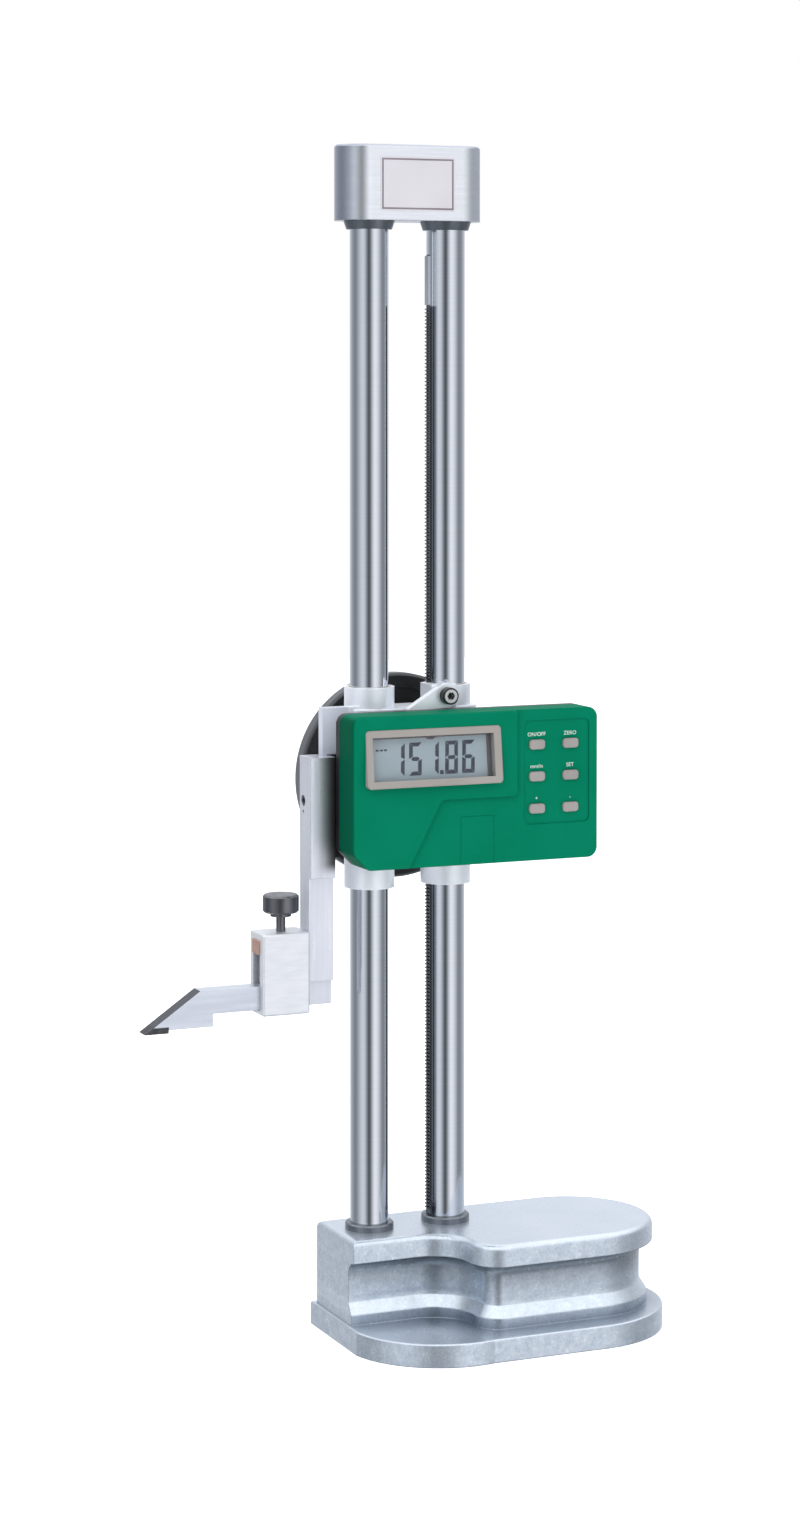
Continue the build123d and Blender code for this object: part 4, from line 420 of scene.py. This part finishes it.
def blade_finish():
    """Lapped scriber with painted shade on its sloping upper bevel."""
    material, graph, shader = new_material("blade_steel", 0.9, 0.3)
    marks = graph.noise(graph.coordinates((30, 500, 500)), 1.0, 3.0)
    steel = graph.tones(marks, (0.74, 0.78, 0.86), (0.82, 0.86, 0.93))
    facing = graph.facing()
    upward, leftward = graph.between(facing["Z"], 0.2, 0.5), graph.between(facing["X"], -0.2, -0.5)
    # Painted shade on the sloping upper bevel.
    bevel_shade = graph.maths("MULTIPLY", upward, leftward)
    graph.link(graph.mix(bevel_shade, steel, (0.10, 0.105, 0.12)), shader.inputs["Base Color"])
    graph.skin(shader, marks, (0.36, 0.26), 0.04, 0.0001, 0.0003)
    return material


def housing_green():
    """Green moulded shell with matt skin; painted shade darkens its left side wall."""
    material, graph, shader = new_material("green_plastic", 0.0, 0.5, Specular_IOR_Level=0.02)
    where = graph.coordinates()
    skin = graph.noise(where, 2600.0, 2.0)
    cloud = graph.noise(where, 30.0, 2.0)
    colour = graph.tones(cloud, (0.0003, 0.142, 0.074), (0.0008, 0.160, 0.086))
    # Painted shade on the left side wall.
    side = graph.between(graph.facing()["X"], -0.4, -0.9)
    graph.link(graph.mix(side, colour, (0.0003, 0.075, 0.038)), shader.inputs["Base Color"])
    graph.skin(shader, skin, (0.6, 0.42), 0.05, 0.0001, 0.0003)
    return material


def moulded_plastic(name, low, high, roughness, edge=0.0003):
    """Moulded plastic with a fine spark-eroded skin."""
    material, graph, shader = new_material(name, 0.0, roughness, Specular_IOR_Level=0.45)
    where = graph.coordinates()
    skin = graph.noise(where, 2600.0, 2.0)
    cloud = graph.noise(where, 30.0, 2.0)
    graph.link(graph.tones(cloud, low, high), shader.inputs["Base Color"])
    graph.skin(shader, skin, (roughness * 1.2, roughness * 0.85), 0.05, 0.0001, edge)
    return material


def window_glass():
    """Clear acrylic pane: mostly transparent, with a faint gloss."""
    material = bpy.data.materials.new("clear_window")
    material.use_nodes = True
    graph = Graph(material.node_tree)
    output = graph.node("ShaderNodeOutputMaterial")
    clear = graph.node("ShaderNodeBsdfTransparent")
    gloss = graph.node("ShaderNodeBsdfGlossy")
    haze = graph.noise(graph.coordinates(), 300.0, 2.0)
    graph.link(graph.tones(haze, 0.03, 0.06), gloss.inputs["Roughness"])
    blend = graph.node("ShaderNodeMixShader")
    graph.link(graph.tones(haze, 0.020, 0.035), blend.inputs["Fac"])
    graph.link(clear.outputs["BSDF"], blend.inputs[1])
    graph.link(gloss.outputs["BSDF"], blend.inputs[2])
    graph.link(blend.outputs["Shader"], output.inputs["Surface"])
    return material


def build_materials():
    steel_grain = (300, 300, 40)
    return {
        "hammertone": hammertone(),
        "chrome": polished_column("chromed_column"),
        "rack_chrome": polished_column("chromed_rack_column", rack_reflection=True),
        "ring_steel": ground_steel("ring_steel", (0.20, 0.22, 0.24), (0.30, 0.32, 0.35), 0.35, steel_grain),
        "dark_metal": ground_steel("dark_metal", (0.10, 0.105, 0.12), (0.20, 0.21, 0.23), 0.32, steel_grain),
        "thumb_steel": ground_steel(
            "thumb_steel", (0.15, 0.15, 0.16), (0.28, 0.285, 0.30), 0.32, steel_grain,
        ),
        "steel": ground_steel("steel", (0.50, 0.51, 0.53), (0.66, 0.67, 0.69), 0.25, steel_grain),
        "rack_steel": rack_finish(),
        "wheel": banded_disc(
            "wheel_plastic", "handwheel",
            [(0.0, 0.008), (0.962, 0.008), (0.975, (0.035, 0.037, 0.04)), (1.0, (0.10, 0.105, 0.115))],
            0.0, 0.35,
        ),
        "socket_head": banded_disc(
            "socket_head", "lock_bolt",
            [(0.0, 0.04), (0.36, 0.04), (0.42, 0.75), (0.74, 0.80), (0.82, 0.07), (1.0, 0.07)], 1.0, 0.3,
        ),
        "arm_steel": arm_finish(),
        "blade_steel": blade_finish(),
        "clamp_steel": clamp_finish(),
        "carbide": ground_steel("carbide", (0.07, 0.07, 0.075), (0.13, 0.13, 0.14), 0.35, (500, 500, 500)),
        "copper": ground_steel("copper", (0.88, 0.56, 0.46), (0.95, 0.66, 0.54), 0.5, (200, 200, 200)),
        "bronze": ground_steel("bronze", (0.55, 0.38, 0.18), (0.65, 0.46, 0.24), 0.3, steel_grain),
        "cell": ground_steel("cell", (0.60, 0.60, 0.62), (0.72, 0.72, 0.74), 0.2, (100, 100, 100)),
        "cap_paint": cap_metal(),
        "slider_paint": slider_finish(),
        "lever_paint": satin_paint("lever_paint", (0.84, 0.87, 0.92), (0.90, 0.92, 0.96), 0.5, 0.32),
        "green": housing_green(),
        "black": moulded_plastic("black_plastic", (0.006, 0.006, 0.007), (0.014, 0.014, 0.015), 0.38),
        "bezel": moulded_plastic("bezel_plastic", (0.25, 0.23, 0.21), (0.29, 0.27, 0.25), 0.45),
        "display": moulded_plastic("display_face", (0.22, 0.28, 0.31), (0.26, 0.32, 0.35), 0.5, edge=0.0001),
        "digits": moulded_plastic(
            "display_digits", (0.012, 0.018, 0.035), (0.02, 0.028, 0.05), 0.5, edge=0.0001,
        ),
        # Painted shadow of the bezel's inner walls, a dark sheet on the display.
        "bezel_shadow": moulded_plastic("display_bezel_shadow", (0.07, 0.06, 0.065), (0.09, 0.08, 0.085), 0.5, edge=0.0001),
        "board": moulded_plastic("circuit_board", (0.01, 0.08, 0.03), (0.015, 0.11, 0.045), 0.4),
        "key": moulded_plastic("key_plastic", (0.24, 0.225, 0.215), (0.29, 0.27, 0.26), 0.5),
        "legend": moulded_plastic("legend_ink", (0.62, 0.66, 0.62), (0.70, 0.74, 0.70), 0.6, edge=0.0001),
        "plate": moulded_plastic("cap_plate", (0.50, 0.48, 0.51), (0.55, 0.53, 0.56), 0.5, edge=0.0001),
        "plate_line": moulded_plastic(
            "cap_plate_line", (0.16, 0.13, 0.15), (0.22, 0.18, 0.20), 0.5, edge=0.0001,
        ),
        "window": window_glass(),
    }


NODE_FINISH = {
    "base": "hammertone", "column_bolts": "dark_metal", "column_left": "chrome",
    "column_right": "rack_chrome", "base_rings": "ring_steel", "cap_collars": "ring_steel",
    "top_cap": "cap_paint", "cap_screws": "dark_metal", "rack": "rack_steel", "pinion": "steel",
    "slider_frame": "slider_paint", "slider_bushes": "bronze", "shaft_bushes": "bronze",
    "lock_lever": "lever_paint", "lock_bolt": "socket_head", "lock_pad": "copper",
    "front_cover": "green", "back_cover": "black", "cover_screws": "dark_metal", "lcd_bezel": "bezel",
    "lcd_window": "window", "lcd_module": "display", "circuit_board": "board", "key_switches": "black",
    "encoder_disc": "black", "key_power": "key", "key_zero": "key", "key_units": "key",
    "key_preset": "key", "key_plus": "key", "key_minus": "key", "battery_cover": "green",
    "battery": "cell", "battery_clips": "bronze", "arm": "arm_steel", "arm_screw": "dark_metal",
    "arm_pin": "dark_metal", "scriber": "blade_steel", "carbide_tip": "carbide",
    "scriber_clamp": "clamp_steel", "clamp_pad": "copper", "thumb_screw": "thumb_steel",
    "handwheel": "wheel", "wheel_shaft": "steel", "wheel_washer": "steel", "wheel_screw": "dark_metal",
    "crank_pin": "steel", "crank_knob": "steel",
}


def dress_nodes(materials):
    """Every CAD node gets its finish."""
    for name, finish in NODE_FINISH.items():
        mesh = NODES[name].data
        mesh.materials.clear()
        mesh.materials.append(materials[finish])


# ---------------------------------------------------------------- mesh helpers
def new_piece(name, bm, material, body):
    """Turns a bmesh into an object that rides on a body."""
    mesh = bpy.data.meshes.new(name)
    bmesh.ops.recalc_face_normals(bm, faces=bm.faces)
    bm.to_mesh(mesh)
    bm.free()
    piece = bpy.data.objects.new(name, mesh)
    scene.collection.objects.link(piece)
    mesh.materials.append(material)
    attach(piece, body)


def prism(bm, outline, depth, place):
    """Adds a closed prism: an outline in a plane's own x and y, raised by a depth, set by a matrix."""
    lower = [bm.verts.new(place @ Vector((x, y, 0))) for x, y in outline]
    upper = [bm.verts.new(place @ Vector((x, y, depth))) for x, y in outline]
    bm.faces.new(lower[::-1])
    bm.faces.new(upper)
    for index, low in enumerate(lower):
        after = (index + 1) % len(lower)
        bm.faces.new((low, lower[after], upper[after], upper[index]))


def rectangle(left, bottom, right, top):
    return [(left, bottom), (right, bottom), (right, top), (left, top)]


# ---------------------------------------------------------------- display
BEZEL_LOW, BEZEL_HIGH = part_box("lcd_bezel")
MODULE_LOW, MODULE_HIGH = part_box("lcd_module")
DISPLAY_LEAN = 3.0 * MM          # the bezel's lower edge stands this much further forward
DISPLAY_X = (MODULE_LOW.x + MODULE_HIGH.x) / 2
WINDOW_HALF_WIDTH = 28.1 * MM
WINDOW_HALF_HEIGHT = 9.2 * MM
GLASS_DEPTH = 2.2 * MM           # from the bezel's face to the pane
PANE_THICKNESS = 1.0 * MM
DISPLAY_GAP = 0.3 * MM           # air between the pane and the display
INK_LIFT = 0.05 * MM
DIGIT_PITCH = 7.9 * MM
DIGIT_WIDTH = 5.9 * MM
DIGIT_HEIGHT = 14.0 * MM
DIGIT_STROKE = 1.7 * MM
POINT_GAP = 1.0 * MM             # extra room for the decimal point
DIGIT_SLANT = 0.06
SEGMENT_GAP = 0.10 * MM
READING = "151.86"
READING_RIGHT = 19.8 * MM        # right edge of the last digit, from the window's centre line
READING_BOTTOM = -7.3 * MM
BEZEL_SHADOW_WIDTH = 2.2 * MM            # painted shadow of the bezel's inner walls, a dark sheet on the display's right and upper edges
BEZEL_SHADOW_LINE = 0.6 * MM
BEZEL_SHADOW_NOTCH = 2.4 * MM
DASHES = 3                       # small bars at the display's left
DASH_LEFT = 2.6 * MM             # from the window's left edge
DASH_PITCH = 1.9 * MM
DASH_LENGTH = 1.4 * MM
DASH_BOTTOM, DASH_TOP = 3.6 * MM, 4.4 * MM
SEGMENTS = {
    "0": "abcdef", "1": "bc", "2": "abdeg", "3": "abcdg", "4": "bcfg", "5": "acdfg",
    "6": "acdefg", "7": "abc", "8": "abcdefg", "9": "abcdfg",
}


def display_plane(depth):
    """Matrix of the leaning display plane, at a depth behind the bezel's face."""
    height = BEZEL_HIGH.z - BEZEL_LOW.z
    up = Vector((0, DISPLAY_LEAN, height)).normalized()
    out = Vector((0, -height, DISPLAY_LEAN)).normalized()
    face_y = BEZEL_LOW.y + DISPLAY_LEAN / 2
    centre = Vector((DISPLAY_X, face_y, (BEZEL_LOW.z + BEZEL_HIGH.z) / 2)) - out * depth
    right = Vector((1, 0, 0))
    return Matrix((
        (right.x, up.x, out.x, centre.x),
        (right.y, up.y, out.y, centre.y),
        (right.z, up.z, out.z, centre.z),
        (0, 0, 0, 1),
    ))


def segment_outlines(width, height, stroke):
    """The seven strokes of one digit, each a bar with pointed ends, in the digit's own plane."""
    half = stroke / 2
    gap = SEGMENT_GAP

    def across(y, low, high):
        left, right = gap, width - gap
        return [
            (left + half, y), (left + stroke, y + high), (right - stroke, y + high),
            (right - half, y), (right - stroke, y - low), (left + stroke, y - low),
        ]

    def upright(x, inward, bottom, top, low_cut, high_cut):
        return [
            (x, bottom + gap), (x + inward * stroke, bottom + gap + low_cut),
            (x + inward * stroke, top - gap - high_cut), (x, top - gap),
        ]

    middle = height / 2
    return {
        "a": [
            (gap, height), (stroke, height - stroke),
            (width - stroke, height - stroke), (width - gap, height),
        ],
        "b": upright(width, -1, middle, height, half, stroke),
        "c": upright(width, -1, 0, middle, stroke, half),
        "d": [(gap, 0), (stroke, stroke), (width - stroke, stroke), (width - gap, 0)],
        "e": upright(0, 1, 0, middle, stroke, half),
        "f": upright(0, 1, middle, height, half, stroke),
        "g": across(middle, half, half),
    }


def add_digits(materials):
    """The reading, in slanted seven-segment figures on the display's face."""
    bm = bmesh.new()
    place = display_plane(GLASS_DEPTH + PANE_THICKNESS + DISPLAY_GAP - INK_LIFT)
    outlines = segment_outlines(DIGIT_WIDTH, DIGIT_HEIGHT, DIGIT_STROKE)
    digits = READING.replace(".", "")
    point_after = READING.index(".") - 1
    for index, digit in enumerate(digits):
        left = READING_RIGHT - DIGIT_WIDTH - (len(digits) - 1 - index) * DIGIT_PITCH
        if index <= point_after:
            left -= POINT_GAP
        for letter in SEGMENTS[digit]:
            outline = [
                (left + x + y * DIGIT_SLANT, READING_BOTTOM + y) for x, y in outlines[letter]
            ]
            prism(bm, outline, INK_LIFT / 2, place)
        if index == point_after:
            dot_left = left + DIGIT_WIDTH + (DIGIT_PITCH + POINT_GAP - DIGIT_WIDTH - DIGIT_STROKE) / 2
            dot = rectangle(dot_left, READING_BOTTOM, dot_left + DIGIT_STROKE, READING_BOTTOM + DIGIT_STROKE)
            prism(bm, dot, INK_LIFT / 2, place)
    for dash in range(DASHES):
        left = -WINDOW_HALF_WIDTH + DASH_LEFT + DASH_PITCH * dash
        prism(bm, rectangle(left, DASH_BOTTOM, left + DASH_LENGTH, DASH_TOP), INK_LIFT / 2, place)
    new_piece("display_digits", bm, materials["digits"], "slider")
    # Painted shadow of the bezel's inner walls: a dark sheet on the display's right and upper edges.
    bezel_shadow = bmesh.new()
    right, top = WINDOW_HALF_WIDTH, WINDOW_HALF_HEIGHT
    prism(bezel_shadow, rectangle(right - BEZEL_SHADOW_WIDTH, -top, right, top), INK_LIFT / 2, place)
    prism(bezel_shadow, rectangle(-right, top - BEZEL_SHADOW_LINE, right - BEZEL_SHADOW_WIDTH, top), INK_LIFT / 2, place)
    notch = [(-BEZEL_SHADOW_NOTCH, top - BEZEL_SHADOW_LINE), (-BEZEL_SHADOW_NOTCH / 2, top - 2.5 * BEZEL_SHADOW_LINE),
             (BEZEL_SHADOW_NOTCH / 2, top - 2.5 * BEZEL_SHADOW_LINE), (BEZEL_SHADOW_NOTCH, top - BEZEL_SHADOW_LINE)]
    prism(bezel_shadow, notch, INK_LIFT / 2, place)
    new_piece("display_bezel_shadow", bezel_shadow, materials["bezel_shadow"], "slider")


# ---------------------------------------------------------------- legends and cap plate
KEY_LEGENDS = {
    "key_power": "ON/OFF", "key_zero": "ZERO", "key_units": "mm/in", "key_preset": "SET",
    "key_plus": "+", "key_minus": "-",
}
LEGEND_SIZE = 2.38 * MM          # Blender's text size, about 1.4 times the letters' height
LEGEND_RISE = 0.5 * MM           # above its key
LEGEND_THICKNESS = 0.04 * MM
KEYPAD_Y = -32.8 * MM            # front face of the keypad's recess


def add_legends(materials):
    """Small printed words over the keys."""
    for key, words in KEY_LEGENDS.items():
        low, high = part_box(key)
        curve = bpy.data.curves.new("legend_" + key, "FONT")
        curve.body = words
        curve.size = LEGEND_SIZE
        curve.align_x = "CENTER"
        curve.extrude = LEGEND_THICKNESS
        text = bpy.data.objects.new("legend_text_" + key, curve)
        scene.collection.objects.link(text)
        text.rotation_euler = (pi / 2, 0, 0)
        text.location = ((low.x + high.x) / 2, KEYPAD_Y, high.z + LEGEND_RISE)
        bpy.context.view_layer.update()
        mesh = bpy.data.meshes.new_from_object(text.evaluated_get(bpy.context.evaluated_depsgraph_get()))
        mesh.transform(text.matrix_world)
        mesh.name = "legend_" + key
        bpy.data.objects.remove(text)
        piece = bpy.data.objects.new("legend_" + key, mesh)
        scene.collection.objects.link(piece)
        mesh.materials.clear()
        mesh.materials.append(materials["legend"])
        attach(piece, "slider")


PLATE_WIDTH = 34.6 * MM
PLATE_HEIGHT = 23.0 * MM
PLATE_THICKNESS = 0.15 * MM
PLATE_LINE = 0.7 * MM
PLATE_MARGIN = 0.6 * MM
PLATE_X = -0.3 * MM
PLATE_DROP = 0.6 * MM            # below the cap's middle


def add_cap_plate(materials):
    """A bare plate with a thin printed border on the cap's front."""
    low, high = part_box("top_cap")
    middle_z = (low.z + high.z) / 2 - PLATE_DROP
    place = Matrix.Translation((PLATE_X, low.y, middle_z)) @ Matrix.Rotation(pi / 2, 4, "X")
    half_w, half_h = PLATE_WIDTH / 2, PLATE_HEIGHT / 2
    plate = bmesh.new()
    prism(plate, rectangle(-half_w, -half_h, half_w, half_h), PLATE_THICKNESS, place)
    new_piece("cap_plate", plate, materials["plate"], "stand")
    border = bmesh.new()
    lift = place @ Matrix.Translation((0, 0, PLATE_THICKNESS))
    left, bottom = -half_w + PLATE_MARGIN, -half_h + PLATE_MARGIN
    line = PLATE_LINE
    for outline in (
        rectangle(left, bottom, -left, bottom + line), rectangle(left, -bottom - line, -left, -bottom),
        rectangle(left, bottom + line, left + line, -bottom - line),
        rectangle(-left - line, bottom + line, -left, -bottom - line),
    ):
        prism(border, outline, INK_LIFT, lift)
    new_piece("cap_plate_border", border, materials["plate_line"], "stand")


# ---------------------------------------------------------------- studio
FLOOR_SIZE = 6.0
# What polished metal sees, as (bearing, brightness): 0 and 1 lie behind the subject, 0.5 toward the camera.
# Two soft boxes stand either side of a dark gap at the camera, between dim side walls and a white backdrop.
STUDIO_PANELS = [(0.0, 0.8), (0.25, 0.25), (0.4, 0.7), (0.5, 0.1), (0.6, 0.9), (0.75, 0.25), (1.0, 0.8)]


def cool(stops):
    """Greys turned into colours that grow bluer as they darken."""
    return [(at, (grey * (0.88 + 0.12 * grey), grey, grey * (1.14 - 0.10 * grey))) for at, grey in stops]


def add_studio():
    """White room for the eye; for reflections, tall soft panels with dark gaps between them."""
    world = bpy.data.worlds.new("studio")
    scene.world = world
    world.use_nodes = True
    graph = Graph(world.node_tree)
    output = graph.node("ShaderNodeOutputWorld")
    where = graph.node("ShaderNodeTexCoord").outputs["Generated"]
    turn = graph.node("ShaderNodeMapping", vector_type="POINT")
    turn.inputs["Rotation"].default_value = (0, 0, CAMERA_YAW + pi / 2)
    graph.link(where, turn.inputs["Vector"])
    bearing = graph.node("ShaderNodeTexGradient", gradient_type="RADIAL")
    graph.link(turn.outputs["Vector"], bearing.inputs["Vector"])
    split = graph.node("ShaderNodeSeparateXYZ")
    graph.link(where, split.inputs["Vector"])
    rise = split.outputs["Z"]
    panels = graph.ramp(bearing.outputs["Fac"], cool(STUDIO_PANELS), smooth=True)
    height = graph.maths("MULTIPLY_ADD", rise, 0.5)
    height.node.inputs[2].default_value = 0.5
    steep = graph.ramp(height, [(0.12, 1.0), (0.33, 0.0), (0.68, 0.0), (0.85, 1.0)])
    ends = graph.ramp(height, [
        (0.12, (0.16, 0.18, 0.21)), (0.33, (0.50, 0.52, 0.55)),
        (0.68, (1.0, 1.02, 1.06)), (0.85, (1.25, 1.27, 1.30)),
    ])
    room = graph.mix(steep, panels, ends)
    seen = graph.node("ShaderNodeLightPath")
    colour = graph.mix(seen.outputs["Is Camera Ray"], room, (1.0, 1.0, 1.0))
    background = graph.node("ShaderNodeBackground")
    graph.link(colour, background.inputs["Color"])
    graph.link(background.outputs["Background"], output.inputs["Surface"])


def area_light(name, at, toward, size, power):
    """Soft light aimed at a point, seen neither by the camera nor in reflections."""
    data = bpy.data.lights.new(name, "AREA")
    data.shape = "RECTANGLE"
    data.size, data.size_y = size
    data.energy = power
    light = bpy.data.objects.new(name, data)
    scene.collection.objects.link(light)
    light.location = at
    light.rotation_mode = "QUATERNION"
    light.rotation_quaternion = (Vector(toward) - Vector(at)).to_track_quat("-Z", "Y")
    light.visible_camera = False
    light.visible_glossy = False


def add_lights():
    middle = (0.0, 0.0, 0.25)
    area_light("key", (-1.4, -1.2, 1.5), middle, (0.9, 1.2), 16.0)
    area_light("fill", (1.5, -1.3, 0.9), middle, (0.9, 1.4), 8.0)
    area_light("top", (0.1, 0.3, 1.9), middle, (1.4, 1.2), 12.0)


def add_floor():
    bm = bmesh.new()
    half = FLOOR_SIZE / 2
    bm.faces.new([bm.verts.new((x, y, 0)) for x, y in rectangle(-half, -half, half, half)])
    mesh = bpy.data.meshes.new("floor")
    bm.to_mesh(mesh)
    bm.free()
    floor = bpy.data.objects.new("floor", mesh)
    scene.collection.objects.link(floor)
    material, graph, shader = new_material(
        "floor", 0.0, 0.9, Emission_Color=(1, 1, 1, 1), Emission_Strength=0.35,
    )
    cloud = graph.noise(graph.coordinates(), 3.0, 2.0)
    graph.link(graph.tones(cloud, 0.90, 0.94), shader.inputs["Base Color"])
    mesh.materials.append(material)
    floor.visible_glossy = False


# ---------------------------------------------------------------- build
scene.view_settings.view_transform = "Standard"
materials = build_materials()
add_camera()
add_studio()
add_lights()
add_floor()
dress_nodes(materials)
add_digits(materials)
add_legends(materials)
add_cap_plate(materials)
